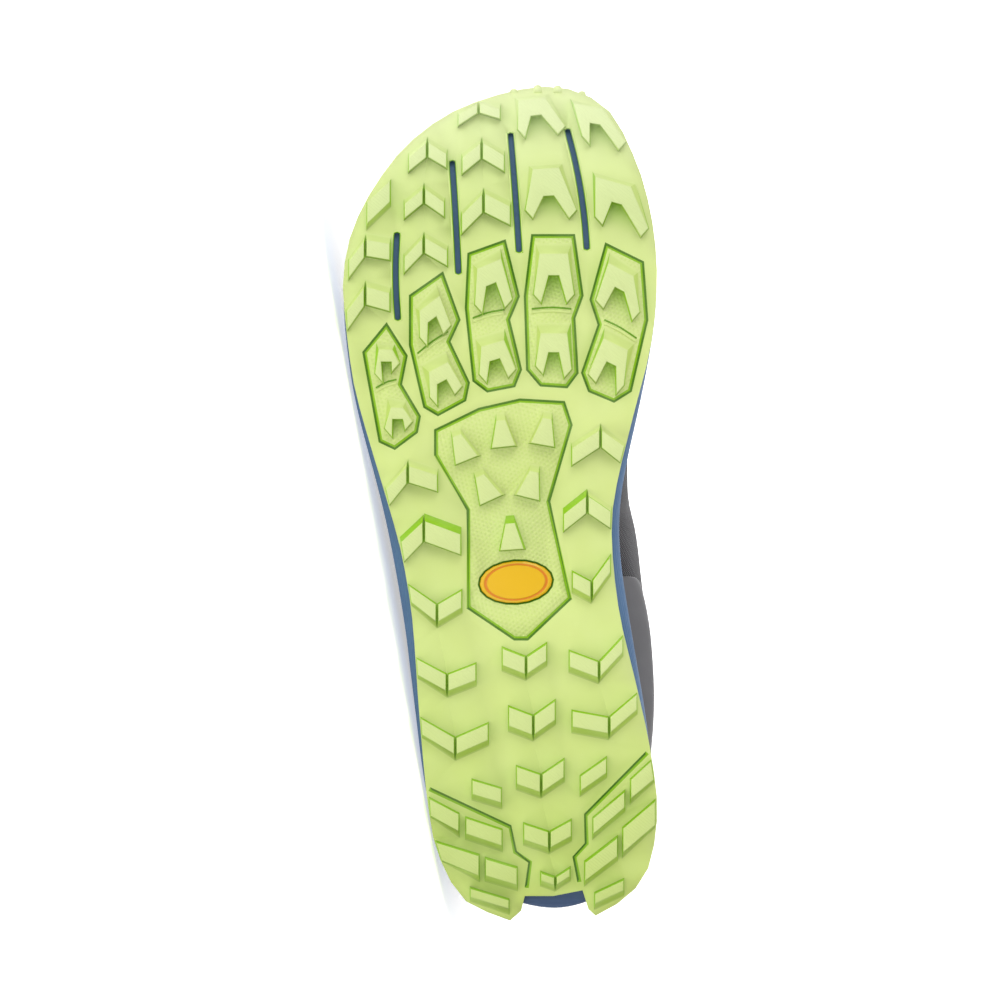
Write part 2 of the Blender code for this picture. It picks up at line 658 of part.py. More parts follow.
def make_outsole():
    """Rubber sheet with its lugs, grooves, slots, inlay recess and toe wrap."""
    bm = bmesh.new()
    holes = [slot_shape(row) for row in slots]

    def solid(p):
        return inside(p, rubber_loop) and not any(inside(p, hole) for hole in holes)

    # Ground side: a level above 0 stands out towards the ground
    tread = Sheet(lambda x: ground(x) + lug_height)
    edge_low = tread.loop(rubber_loop, 0.0)
    holes_low = [tread.loop(hole, 0.0) for hole in holes]
    for row in chevrons:
        for wing in chevron_wings(row):
            lug(tread, wing, 1 if row[3] > 0 else -1)
    for a0, c0, a1, c1, chord in bars:
        lug(tread, [plan(a0, c0), plan(a1, c1), plan(a1 - chord, c1), plan(a0 - chord, c0)], -1)
    for row in forks:
        fork(tread, row)
    for row in wedges:
        lug(tread, wedge_shape(*row), 1)
    for pod in pods:
        groove(tread, [plan(*p) for p in pod])
    groove(tread, [plan(*p) for p in panel])
    for path in pad_grooves:
        points = [plan(*p) for p in path]
        tread.loop(stretch_of(points, 0.5 * groove_width), 0.0)
        tread.line([points[0].lerp(points[1], groove_start)] + points[1:-1]
                   + [points[-1].lerp(points[-2], groove_end)], -groove_depth)
    recess = (0.5 * inlay_length + gap, 0.5 * inlay_width + gap)
    tread.loop(oval(recess[0] + lug_draft, recess[1] + lug_draft), 0.0)
    tread.loop(oval(*recess), -groove_depth)
    low = tread.build(bm, solid, False)

    # Foot side, with the toe wrap standing up round the front
    wrap = [i for i in range(rubber_count) if rubber_loop[i].x > lip_from * length]
    first, last = wrap[0], wrap[-1]
    inner = swell(rubber_loop, -lip_thick)
    upper_loop = [inner[i] if first < i < last else p for i, p in enumerate(rubber_loop)]
    deck = Sheet(rubber_top)
    edge_high = deck.loop(upper_loop, 0.0)
    holes_high = [deck.loop(hole, 0.0) for hole in holes]
    deck.dots(upper_loop, holes)
    high = deck.build(bm, lambda p: inside(p, upper_loop)
                      and not any(inside(p, hole) for hole in holes), True)

    def lip(points, inset):
        """Row of vertices along the top of the toe wrap; its ends run out to the edge."""
        row = []
        for i in range(first, last + 1):
            if i in (first, last):
                row.append(high[edge_high[i]])
                continue
            p = points[i]
            rise = lip_height * ease(min(i - first, last - i) / lip_fade)
            lean = outward(rubber_loop, i) * -lip_lean * rise
            row.append(bm.verts.new((p.x + lean.x * inset, p.y + lean.y * inset,
                                     rubber_top(rubber_loop[i].x) + rise)))
        return row

    count = len(rubber_loop)
    walls = [(low[edge_low[i]], high[edge_high[i]]) for i in range(count)]
    lip_out = lip(rubber_loop, 1.0)
    lip_in = lip(inner, 0.0)
    for i in range(count):
        j = (i + 1) % count
        if first <= i < last:
            k = i - first
            face(bm, walls[i][0], walls[j][0], lip_out[k + 1], lip_out[k])
            face(bm, lip_out[k], lip_out[k + 1], lip_in[k + 1], lip_in[k])
            face(bm, lip_in[k], lip_in[k + 1], walls[j][1], walls[i][1])
        else:
            face(bm, walls[i][0], walls[j][0], walls[j][1], walls[i][1])
    for below, above in zip(holes_low, holes_high):
        bridge(bm, [high[k] for k in above], [low[k] for k in below])
    return piece("outsole", bm, lime)


def make_inlay():
    """Plain oval plate in its recess."""
    bm = bmesh.new()
    poly = anticlockwise(oval(0.5 * inlay_length, 0.5 * inlay_width))
    crown = anticlockwise(oval(0.5 * inlay_length - inlay_thick, 0.5 * inlay_width - inlay_thick))
    top = lug_height + groove_depth - gap

    def at(points, drop):
        return ring(bm, [(p.x, p.y, ground(p.x) + top - drop) for p in points])

    back, side, face = at(poly, 0.0), at(poly, 0.5 * inlay_thick), at(crown, inlay_thick)
    bm.faces.new(back)
    bridge(bm, side, back)
    bridge(bm, face, side)
    bm.faces.new(face[::-1])
    return piece("inlay", bm, amber)


def make_midsole():
    """Foam with stepped sides and a rim that cups the upper."""
    bm = bmesh.new()
    rows = []
    for share, out, lean in foam_side:
        row = []
        for i, wide in enumerate(foam_loop):
            foot = foam_foot[i]
            p = foot.lerp(wide, out)
            heel = heel_lean * ease(share / 0.8) * max(0.0, 1 - wide.x / length / 0.16)
            p = p - outward(foam_loop, i) * (lean + heel)
            x = p.x
            low = foam_bottom(x)
            row.append((p.x, p.y, low + (rim_top(wide.x) - low) * share))
        rows.append(ring(bm, row))
    for a, b in zip(rows, rows[1:]):
        bridge(bm, a, b)
    rim = ring(bm, [(p.x, p.y, rim_top(w.x)) for p, w in zip(rim_inner, foam_loop)])
    bridge(bm, rows[-1], rim)

    base = [Vector(v.co.xy) for v in rows[0]]
    under = Sheet(foam_bottom)
    loop = under.loop(base, 0.0)
    under.dots(base)
    owner = under.build(bm, lambda p: inside(p, base), False)
    bed = Sheet(footbed)
    bed_loop = bed.loop(rim_inner, 0.0)
    bed.dots(rim_inner)
    bed_owner = bed.build(bm, lambda p: inside(p, rim_inner), True)
    bridge(bm, rim, [bed_owner[k] for k in bed_loop])
    weld = {owner[k]: v for k, v in zip(loop, rows[0])}
    bmesh.ops.weld_verts(bm, targetmap=weld)
    return piece("midsole", bm, blue)


def rib_values(around):
    """Read the rib table at a share of the way round, smoothly."""
    count = len(ribs)
    starts = [row[0] for row in ribs]
    i = bisect.bisect_right(starts, around) - 1
    four = [ribs[(i + k) % count] for k in (-1, 0, 1, 2)]
    end = starts[(i + 1) % count] + (1.0 if i == count - 1 else 0.0)
    share = (around - starts[i]) / (end - starts[i])
    return [spline(a, b, c, d, share) for a, b, c, d in list(zip(*four))[1:]]


def rib_points(column):
    """Outer face of the upper along one rib, from the midsole's rim to the edge."""
    along, across, height, rise, out, edge_out, edge_down = rib_values(column / columns)
    foot = feather[column]
    spot = plan(along, across)
    edge = Vector((spot.x, spot.y, footbed(0.4 * length) + height * collar_height))
    start = Vector((foot.x, foot.y, rim_top(foot_x(column))))
    lean = outward(feather, column) * out * ball_width
    toward = (start - edge).xy.normalized() * edge_out * ball_width
    first = start + Vector((lean.x, lean.y, rise * collar_height))
    second = edge + Vector((toward.x, toward.y, -edge_down * collar_height))
    points = []
    for k in range(rib_rows + 1):
        s = k / rib_rows
        r = 1 - s
        points.append(start * r ** 3 + first * 3 * s * r * r + second * 3 * s * s * r + edge * s ** 3)
    return points


def foot_x(column):
    return foam_loop[column].x


# Outer face of the upper and its outward normals, one list for each rib
skin = [rib_points(k) for k in range(columns)]


def skin_normal(column, row):
    beside = skin[(column + 1) % columns][row] - skin[column - 1][row]
    above = skin[column][min(row + 1, rib_rows)] - skin[column][max(row - 1, 0)]
    return beside.cross(above).normalized()


def collar_share(column):
    """1 round the collar, fading out before the facings."""
    around = column / columns
    outer, inner = collar_ends
    return ease((outer - around) / collar_fade) + ease((around - inner) / collar_fade)


def skin_at(column, row, out):
    """Point off the upper's outer face, by share of column and row."""
    low, high = int(math.floor(column)), int(math.floor(row))
    high = min(high, rib_rows - 1)
    u, v = column - low, row - high
    point = Vector()
    for k, weight_k in ((low, 1 - u), (low + 1, u)):
        for j, weight_j in ((high, 1 - v), (high + 1, v)):
            corner = skin[k % columns][j] + skin_normal(k % columns, j) * out
            point += corner * weight_k * weight_j
    return point


def make_upper():
    """One hollow shell, open at collar and throat and underneath."""
    bm = bmesh.new()
    outer = []
    inner = []
    foot_low = []
    foot_high = []
    for k in range(columns):
        foot = feather[k]
        normal = outward(feather, k)
        bed = footbed(foot_x(k)) + gap
        foot_low.append((foot.x, foot.y, bed))
        foot_high.append((foot.x - normal.x * wall, foot.y - normal.y * wall, bed))
    for row in range(rib_rows + 1):
        pad = collar_pad * ease((row / rib_rows - collar_from) / collar_grown)
        if row == rib_rows:
            pad *= collar_edge
        outer.append(ring(bm, [skin[k][row] for k in range(columns)]))
        inner.append(ring(bm, [skin[k][row] - skin_normal(k, row) * (wall + pad * collar_share(k))
                               if row else
                               skin[k][0] - Vector((*(outward(feather, k) * wall), 0.0))
                               for k in range(columns)]))
    low = ring(bm, foot_low)
    high = ring(bm, foot_high)
    bridge(bm, low, outer[0])
    for a, b in zip(outer, outer[1:]):
        bridge(bm, a, b)
    bridge(bm, outer[-1], inner[-1])
    for a, b in zip(inner, inner[1:]):
        bridge(bm, b, a)
    bridge(bm, inner[0], high)
    bridge(bm, high, low)
    return piece("upper", bm, grey)


def make_overlay(name, first, last, reach, look):
    """Thin patch over the upper; reach gives its lower and upper row at each column."""
    bm = bmesh.new()
    under = []
    over = []
    count = math.ceil(last - first) + 1
    for k in (first + (last - first) * i / (count - 1) for i in range(count)):
        low, high = reach(k)
        rows = [low + (high - low) * j / overlay_rows for j in range(overlay_rows + 1)]
        under.append([bm.verts.new(skin_at(k, r, overlay_gap)) for r in rows])
        over.append([bm.verts.new(skin_at(k, r, overlay_gap + overlay)) for r in rows])
    for a, b, c, d in zip(under, under[1:], over, over[1:]):
        bridge(bm, a + c[::-1], b + d[::-1])
    for a, c in ((under[0], over[0]), (under[-1], over[-1])):
        bridge(bm, a, c, closed=False)
    return piece(name, bm, look)


def make_insole():
    """Flat footbed inside the upper."""
    bm = bmesh.new()
    loop = swell(feather, -wall - 2 * gap)
    slim = swell(loop, -insole_bevel)
    bottom = Sheet(lambda x: footbed(x) + gap)
    low = bottom.loop(loop, 0.0)
    bottom.dots(loop)
    low_owner = bottom.build(bm, lambda p: inside(p, loop), False)
    top = Sheet(lambda x: footbed(x) + gap + footbed_foam)
    high = top.loop(slim, 0.0)
    top.dots(slim)
    high_owner = top.build(bm, lambda p: inside(p, slim), True)
    bridge(bm, [low_owner[k] for k in low], [high_owner[k] for k in high])
    return piece("insole", bm, black)


def guard_reach(k):
    """Lower and upper row of the toe guard, which tapers to its ends."""
    share = 1 - abs(k - sum(guard_ribs) / 2) / (guard_ribs[1] - guard_ribs[0]) * 2
    return overlay_low, guard_end + (guard_high - guard_end) * ease(share * 2.2)


def counter_reach(k):
    """The heel counter is high behind and a low strip along the sides."""
    middle = ease(1.25 - abs(k) / counter_half)
    return overlay_low, counter_strip + (counter_high - counter_strip) * middle


def facing_reach(k):
    return facing_low, facing_high


def column_at(along, side):
    """Rib whose edge lies at a share of the length, outer side (-1) or inner side (1)."""
    low, high = (0.235, 0.5) if side < 0 else (0.785, 0.5)
    for _ in range(24):
        middle = (low + high) / 2
        if rib_values(middle)[0] < along:
            low = middle
        else:
            high = middle
    return low * columns


def make_eyelet(name, along, side):
    """Thin ring standing on the facing."""
    bm = bmesh.new()
    column = column_at(along, side)
    base = skin_at(column, eyelet_row, overlay_gap + overlay + gap)
    axis = (base - skin_at(column, eyelet_row, 0.0)).normalized()
    first = axis.cross(Vector((1, 0, 0))).normalized()
    second = axis.cross(first)
    rings = []
    for radius, height in ((eyelet_radius, 0.0), (eyelet_radius, eyelet_height),
                           (eyelet_hole, eyelet_height), (eyelet_hole, 0.0)):
        turns = [k * math.tau / eyelet_sides for k in range(eyelet_sides)]
        rings.append(ring(bm, [base + axis * height
                               + (first * math.cos(t) + second * math.sin(t)) * radius
                               for t in turns]))
    for a, b in zip(rings, rings[1:] + rings[:1]):
        bridge(bm, a, b)
    return piece(name, bm, light_grey)


def tongue_section(share):
    """Points across the tongue, just under the facings and over the gap between them."""
    along = tongue_front + (tongue_back - tongue_front) * share
    outer, inner = column_at(along, -1), column_at(along, 1)
    rows = [row + tongue_narrow * share * (rib_rows - row) for row in tongue_rows] + [rib_rows]
    left = [skin_at(outer, r, tongue_under) for r in rows]
    right = [skin_at(inner, r, tongue_under) for r in rows]
    middle = (left[-1] + right[-1]) / 2
    middle.z += tongue_crown
    return left + [middle] + right[::-1]


def tongue_shape():
    """Sections of the tongue's upper face, front to back."""
    sections = [tongue_section(k / (tongue_sections - 1)) for k in range(tongue_sections)]
    first, second, last = sections[0], sections[1], sections[-1]
    ahead = [a.lerp(2 * a - b, 0.75) - Vector((0, 0, tongue_dip)) for a, b in zip(first, second)]
    # Above the top eyelets the tongue turns up and narrows
    middle = last[3]
    run = (middle - sections[-2][3]).normalized()
    up = Vector((tongue_way[0], 0.0, tongue_way[1]))
    for share, slim in tongue_tip:
        way = run.lerp(up, 0.25 + 0.45 * share).normalized()
        spot = middle + way * tongue_rise * share
        sections.append([spot + (p - middle) * slim
                         + Vector((0, 0, tongue_curl * share * abs(i - 3) / 3))
                         for i, p in enumerate(last)])
    return [ahead] + sections


def make_tongue():
    """Padded strip from under the vamp to above the top eyelets."""
    bm = bmesh.new()
    sections = tongue_shape()
    final = len(sections) - 1
    upper_rows = []
    lower_rows = []
    for k, row in enumerate(sections):
        before, after = sections[max(k - 1, 0)], sections[min(k + 1, final)]
        thick = tongue_thick * (tongue_thin if k in (0, final) else 1.0)
        lower = []
        for i, p in enumerate(row):
            across = row[min(i + 1, 6)] - row[max(i - 1, 0)]
            down = across.cross(before[i] - after[i]).normalized()
            edge = tongue_edge if i in (0, 6) else 1.0
            lower.append(p + down * thick * edge)
        upper_rows.append(ring(bm, row))
        lower_rows.append(ring(bm, lower))
    for a, b, c, d in zip(upper_rows, upper_rows[1:], lower_rows, lower_rows[1:]):
        bridge(bm, a + c[::-1], b + d[::-1])
    for end in (0, -1):
        bridge(bm, upper_rows[end], lower_rows[end], closed=False)
    return piece("tongue", bm, black)


def throat_slope():
    """Rise of the throat's edges for each metre forward."""
    front, back = column_at(eyelet_along[0], -1), column_at(eyelet_along[-1], -1)
    run = skin_at(front, rib_rows, 0.0) - skin_at(back, rib_rows, 0.0)
    return run.z / run.x


def lace_band(name, near, far, side, layer):
    """Flat band from one eyelet over the tongue to one of the other side."""
    bm = bmesh.new()
    over = overlay_gap + overlay + 0.5 * lace_thick + layer * lace_layer
    path = []
    for share, row in lace_path:
        column = (column_at(near, side) * (1 - share) + column_at(far, side) * share if share < 0.5
                  else column_at(near, -side) * (1 - share) + column_at(far, -side) * share)
        out = over + 2 * gap if row == rib_rows else over + gap + eyelet_height + lace_lift
        path.append(skin_at(column, row, out))
    middle = sum((skin_at(column_at((near + far) / 2, way), rib_rows, 0.0) for way in (-1, 1)),
                 Vector()) / 2
    middle.z += lace_bow + layer * lace_layer
    path.insert(len(path) // 2, middle)
    slope = throat_slope()
    final = len(path) - 1
    rows = []
    for k, p in enumerate(path):
        way = (path[min(k + 1, final)] - path[max(k - 1, 0)]).normalized()
        flat = Vector((way.y, -way.x, 0.0)).normalized()
        flat = Vector((flat.x, flat.y, slope * flat.x)).normalized()
        up = flat.cross(way).normalized() * 0.5 * lace_thick
        edge = flat * 0.5 * lace_width
        rows.append(ring(bm, [p - edge - up, p + edge - up, p + edge + up, p - edge + up]))
    for a, b in zip(rows, rows[1:]):
        bridge(bm, a, b)
    bm.faces.new(rows[0])
    bm.faces.new(rows[-1])
    return piece(name, bm, black)


def make_laces():
    """Front bar and crossings, joined where they meet."""
    laces = lace_band("laces", eyelet_along[0], eyelet_along[0], -1, 0)
    layer = 1
    for near, far in zip(eyelet_along, eyelet_along[1:]):
        for side in (-1, 1):
            band = lace_band(f"crossing_{layer}", near, far, side, layer % 2 + 1)
            band.hide_render = True
            band.display_type = "WIRE"
            join = laces.modifiers.new(band.name, "BOOLEAN")
            join.operation = "UNION"
            join.object = band
            layer += 1
    return laces


def lay_down():
    """Turn the finished shoe onto the side that it rests on, and centre it."""
    graph = bpy.context.evaluated_depsgraph_get()
    shown = [o for o in bpy.data.objects if o.type == "MESH" and not o.hide_render]
    points = []
    weight = 0.0
    centre = Vector()
    for obj in shown:
        mesh = obj.evaluated_get(graph).to_mesh()
        mesh.calc_loop_triangles()
        points.extend(v.co.copy() for v in mesh.vertices)
        for triangle in mesh.loop_triangles:
            a, b, c = (mesh.vertices[i].co for i in triangle.vertices)
            volume = a.dot(b.cross(c)) / 6
            weight += volume
            centre += (a + b + c) / 4 * volume
    centre /= weight
    hull = bmesh.new()
    for p in points:
        hull.verts.new(p)
    bmesh.ops.convex_hull(hull, input=hull.verts[:])
    bmesh.ops.recalc_face_normals(hull, faces=hull.faces[:])
    rest = None
    for side in hull.faces:
        n = side.normal
        corners = [v.co for v in side.verts]
        if n.y > lying_side:
            continue
        foot = centre - n * (centre - corners[0]).dot(n)
        turns = [(b - a).cross(foot - a).dot(n) for a, b in zip(corners, corners[1:] + corners[:1])]
        if min(turns) >= 0 or max(turns) <= 0:
            rest = n.copy()
    hull.free()
    up = -rest
    along = (Vector((-1, 0, 0)) + up * up.x).normalized()
    turn = Matrix((along, up.cross(along), up))
    laid = [turn @ p for p in points]
    low = [min(p[k] for p in laid) for k in range(3)]
    high = [max(p[k] for p in laid) for k in range(3)]
    shift = Vector((-(low[0] + high[0]) / 2, -(low[1] + high[1]) / 2, -low[2]))
    pose = bpy.data.objects.new("resting_pose", None)
    bpy.context.scene.collection.objects.link(pose)
    pose.matrix_world = Matrix.Translation(shift) @ turn.to_4x4()
    for obj in bpy.data.objects:
        if obj.type == "MESH":
            obj.parent = pose


for obj in list(bpy.data.objects):
    bpy.data.objects.remove(obj)

make_outsole()
make_inlay()
make_midsole()
make_insole()
make_upper()
make_overlay("toe_guard", *guard_ribs, guard_reach, light_grey)
make_overlay("heel_counter", *counter_ribs, counter_reach, light_grey)
make_overlay("lace_facing", *facing_ribs, facing_reach, black)
for number, along in enumerate(eyelet_along, 1):
    make_eyelet(f"eyelet_outer_{number}", along, -1)
    make_eyelet(f"eyelet_inner_{number}", along, 1)
make_tongue()
make_laces()
lay_down()
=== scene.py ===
# Trail running shoe for the right foot, lying on its outer side, tread to the camera
import json
import math

import bmesh
import bpy
from mathutils import Matrix, Vector
from mathutils.bvhtree import BVHTree
from mathutils.geometry import convex_hull_2d, intersect_point_line


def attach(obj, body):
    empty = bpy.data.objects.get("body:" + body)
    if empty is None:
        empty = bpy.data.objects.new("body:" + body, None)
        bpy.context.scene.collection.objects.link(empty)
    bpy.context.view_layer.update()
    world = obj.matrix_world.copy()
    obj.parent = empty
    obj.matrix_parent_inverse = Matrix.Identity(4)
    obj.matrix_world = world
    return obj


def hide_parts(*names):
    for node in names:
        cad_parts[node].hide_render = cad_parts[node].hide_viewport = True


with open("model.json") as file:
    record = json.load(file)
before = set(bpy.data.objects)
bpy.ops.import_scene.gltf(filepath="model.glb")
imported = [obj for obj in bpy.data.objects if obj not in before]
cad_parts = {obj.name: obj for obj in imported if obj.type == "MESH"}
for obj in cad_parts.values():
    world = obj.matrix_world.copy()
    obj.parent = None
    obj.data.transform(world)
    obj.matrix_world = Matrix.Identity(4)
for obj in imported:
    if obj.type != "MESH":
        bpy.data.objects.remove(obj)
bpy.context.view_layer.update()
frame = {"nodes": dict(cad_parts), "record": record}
cad = frame["nodes"]
print("frame loaded")

mm = 0.001
length, ballWidth = 0.3000, 0.1121      # as in the part's source
upward = Vector((0, 0, 1))

# The shoe's own directions: x heel to toe, y to the big toe, z up from the lug tops.
# Two mounts of the record fix them: where each is in the shoe, and where it lies here.
mounts = {m["name"]: m for m in frame["record"]["mounts"]}
treadSpot, footbedSpot = Vector((66.3, -30.1, 0.0)) * mm, Vector((62.0, 6.0, 25.8)) * mm
treadPlace, footbedPlace = (Vector(mounts[n]["pos_m"]) for n in ("tread", "footbed"))
shoeUp = Vector(mounts["footbed"]["axis"]).normalized()
between = footbedPlace - treadPlace
flatWay = (between - shoeUp * between.dot(shoeUp)).normalized()
turn = math.atan2(footbedSpot.y - treadSpot.y, footbedSpot.x - treadSpot.x)
shoeToe = flatWay * math.cos(turn) - shoeUp.cross(flatWay) * math.sin(turn)
shoeInner = shoeUp.cross(shoeToe)
shoeMatrix = Matrix((shoeToe, shoeInner, shoeUp)).transposed().to_4x4()
shoeMatrix.translation = footbedPlace - shoeMatrix.to_3x3() @ footbedSpot
toShoe = shoeMatrix.inverted()


def plan(along, across):
    # A point of the sole's plan, from shares of the length and of the ball's width
    return Vector((along * length, across * ballWidth, 0.0))


# How the tread leaves the ground at toe, heel and arch: shares of the length, and rises
groundSizes = {
    "toeFrom": 0.715, "toeRise": 22.0 * mm, "toeCurve": 1.8,
    "heelTo": 0.085, "heelRise": 6.0 * mm, "heelCurve": 1.6,
    "archFrom": 0.32, "archTo": 0.60, "archFade": 0.10, "archRise": 1.2 * mm,
}


def groundHeight(x):
    size, along = groundSizes, x / length
    toe = max(0.0, (along - size["toeFrom"]) / (1 - size["toeFrom"]))
    heel = max(0.0, 1 - along / size["heelTo"])
    arch = (ease((along - size["archFrom"]) / size["archFade"])
            * ease((size["archTo"] - along) / size["archFade"]))
    return (size["toeRise"] * toe ** size["toeCurve"]
            + size["heelRise"] * heel ** size["heelCurve"] + size["archRise"] * arch)


def ease(share):
    share = min(max(share, 0.0), 1.0)
    return share * share * (3 - 2 * share)


class Wire:
    def __init__(self, finish, socket):
        self.finish = finish
        self.socket = socket

    def calc(self, operation, *values):
        return self.finish.node("ShaderNodeMath", {"operation": operation},
                                dict(enumerate(values)))

    def __add__(self, other):
        return self.calc("ADD", self, other)

    def __sub__(self, other):
        return self.calc("SUBTRACT", self, other)

    def __rsub__(self, other):
        return self.calc("SUBTRACT", other, self)

    def __mul__(self, other):
        return self.calc("MULTIPLY", self, other)

    def __truediv__(self, other):
        return self.calc("DIVIDE", self, other)

    def __pow__(self, other):
        return self.calc("POWER", self, other)

    __radd__ = __add__
    __rmul__ = __mul__

    def sine(self):
        return self.calc("SINE", self)

    def above(self, edge, soft):
        # 0 below the edge, 1 above it, with a soft step
        return self.finish.node("ShaderNodeMapRange", {"interpolation_type": "SMOOTHSTEP"},
                                {"Value": self, "From Min": edge - soft, "From Max": edge + soft})


class Finish:
    def __init__(self, name, roughness=0.6, sheen=0.0):
        self.material = bpy.data.materials.new(name)
        self.material.use_nodes = True
        self.tree = self.material.node_tree
        self.shader = self.tree.nodes["Principled BSDF"]
        self.shader.inputs["Roughness"].default_value = roughness
        if sheen:
            self.shader.inputs["Sheen Weight"].default_value = sheen
            self.shader.inputs["Sheen Roughness"].default_value = 0.4

    def node(self, kind, settings=None, sockets=None, output=0):
        made = self.tree.nodes.new(kind)
        for key, value in (settings or {}).items():
            if key == "stops":
                while len(made.color_ramp.elements) < len(value):
                    made.color_ramp.elements.new(0.5)
                for element, (at, colour) in zip(made.color_ramp.elements, value):
                    element.position = at
                    element.color = (*colour, 1.0)
            else:
                setattr(made, key, value)
        for key, value in (sockets or {}).items():
            if isinstance(value, Wire):
                self.tree.links.new(value.socket, made.inputs[key])
            else:
                made.inputs[key].default_value = value
        return Wire(self, made.outputs[output])

    def place(self):
        # Object coordinates turned into the shoe's own directions, in millimetres
        coordinates = self.node("ShaderNodeTexCoord", output="Object")
        moved = self.node("ShaderNodeMapping", {"vector_type": "POINT"},
                          {"Vector": coordinates, "Rotation": toShoe.to_euler(),
                           "Location": toShoe.translation})
        return self.node("ShaderNodeVectorMath", {"operation": "SCALE"},
                         {0: moved, "Scale": 1000.0})

    def axes(self, vector):
        split = self.node("ShaderNodeSeparateXYZ", sockets={0: vector})
        outputs = split.socket.node.outputs
        return [Wire(self, outputs[k]) for k in range(3)]

    def attribute(self, name):
        return self.node("ShaderNodeAttribute", {"attribute_name": name}, output="Fac")

    def noise(self, vector, scale, detail=3.0, roughness=0.5):
        return self.node("ShaderNodeTexNoise", None,
                         {"Vector": vector, "Scale": scale, "Detail": detail,
                          "Roughness": roughness})

    def mix(self, share, first, second):
        def colour(value):
            return value if isinstance(value, Wire) else (*value, 1.0)
        return self.node("ShaderNodeMix", {"data_type": "RGBA"},
                         {"Factor": share, 6: colour(first), 7: colour(second)}, 2)

    def ramp(self, share, stops):
        return self.node("ShaderNodeValToRGB", {"stops": stops}, {"Fac": share})

    def bump(self, height):
        # Heights in millimetres
        return self.node("ShaderNodeBump", None,
                         {"Height": height, "Distance": 1.0 * mm, "Strength": 1.0})

    def wear(self, **sockets):
        for key, value in sockets.items():
            socket = self.shader.inputs[key.replace("_", " ")]
            if isinstance(value, Wire):
                self.tree.links.new(value.socket, socket)
            elif isinstance(value, tuple) and len(value) == 3:
                socket.default_value = (*value, 1.0)
            else:
                socket.default_value = value
        return self.material


def tone(*levels):
    # An sRGB colour from 0 to 255, made linear
    return tuple(c / 255 / 12.92 if c <= 10 else ((c / 255 + 0.055) / 1.055) ** 2.4
                 for c in levels)


def smoothPath(points, fine=6, closed=False):
    # A smooth run of points through a few
    count = len(points)
    path = []
    for i in range(count if closed else count - 1):
        a, b, c, d = (points[(i + k) % count] if closed else points[min(max(i + k, 0), count - 1)]
                      for k in (-1, 0, 1, 2))
        for k in range(fine):
            s = k / fine
            path.append(0.5 * (2 * b + (c - a) * s + (2 * a - 5 * b + 4 * c - d) * s * s
                               + (3 * b - a - 3 * c + d) * s ** 3))
    return path if closed else path + [points[-1]]


def edgesOf(verts):
    # The edges that meet some points, each once
    return list(dict.fromkeys(e for v in verts for e in v.link_edges))


def sweep(bm, path, sizes, ups, sides=8, closed=False):
    # A ring of points extruded from place to place: sizes are its half width and half height
    def matrixAt(k):
        before = path[k - 1] if k or closed else path[0]
        after = path[(k + 1) % len(path)] if k < len(path) - 1 or closed else path[-1]
        way = (after - before).normalized()
        side = way.cross(ups[k]).normalized()
        lying = Matrix((side, side.cross(way), way)).transposed().to_4x4()
        lying.translation = path[k]
        return lying @ Matrix.Diagonal((sizes[k][0], sizes[k][1], sizes[k][0], 1.0))

    start = bmesh.ops.create_circle(bm, segments=sides, radius=1.0, matrix=matrixAt(0))
    edges = edgesOf(start["verts"])
    stops = list(range(1, len(path))) + ([0] if closed else [])
    was = matrixAt(0)
    loops = [edges]
    for k in stops:
        made = bmesh.ops.extrude_edge_only(bm, edges=edges)["geom"]
        verts = [g for g in made if isinstance(g, bmesh.types.BMVert)]
        edges = [g for g in made if isinstance(g, bmesh.types.BMEdge)]
        edges = [e for e in edges if all(v in verts for v in e.verts)]
        now = matrixAt(k)
        bmesh.ops.transform(bm, matrix=now @ was.inverted(), verts=verts)
        was = now
    if closed:
        bmesh.ops.remove_doubles(bm, verts=bm.verts, dist=weldReach)
    else:
        bmesh.ops.holes_fill(bm, edges=loops[0] + edges, sides=sides)


quadAngles = {"fold": 55.0, "shape": 70.0}       # up to which two triangles become one face
weldReach = 1e-6


def cadCopy(name, quads=True):
    # A merged copy of a CAD node, in the shoe's own directions
    bm = bmesh.new()
    bm.from_mesh(cad[name].data)
    bmesh.ops.remove_doubles(bm, verts=bm.verts, dist=weldReach)
    if quads:
        bmesh.ops.join_triangles(bm, faces=bm.faces,
                                 angle_face_threshold=math.radians(quadAngles["fold"]),
                                 angle_shape_threshold=math.radians(quadAngles["shape"]))
    bmesh.ops.transform(bm, matrix=toShoe, verts=bm.verts)
    return bm


def placed(bm, name, finishes, stands=(), levels=0, sharp=None):
    # Lays a mesh made in the shoe's directions where the shoe lies, as a finished piece
    bmesh.ops.transform(bm, matrix=shoeMatrix, verts=bm.verts)
    mesh = bpy.data.meshes.new(name)
    bm.to_mesh(mesh)
    bm.free()
    for finish in finishes:
        mesh.materials.append(finish)
    mesh.shade_smooth()
    if sharp:
        mesh.set_sharp_from_angle(angle=math.radians(sharp))
    piece = bpy.data.objects.new(name, mesh)
    bpy.context.scene.collection.objects.link(piece)
    if levels:
        rounding = piece.modifiers.new("Rounding", "SUBSURF")
        rounding.levels = rounding.render_levels = levels
    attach(piece, "root")
    if stands:
        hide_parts(*stands)
    return piece


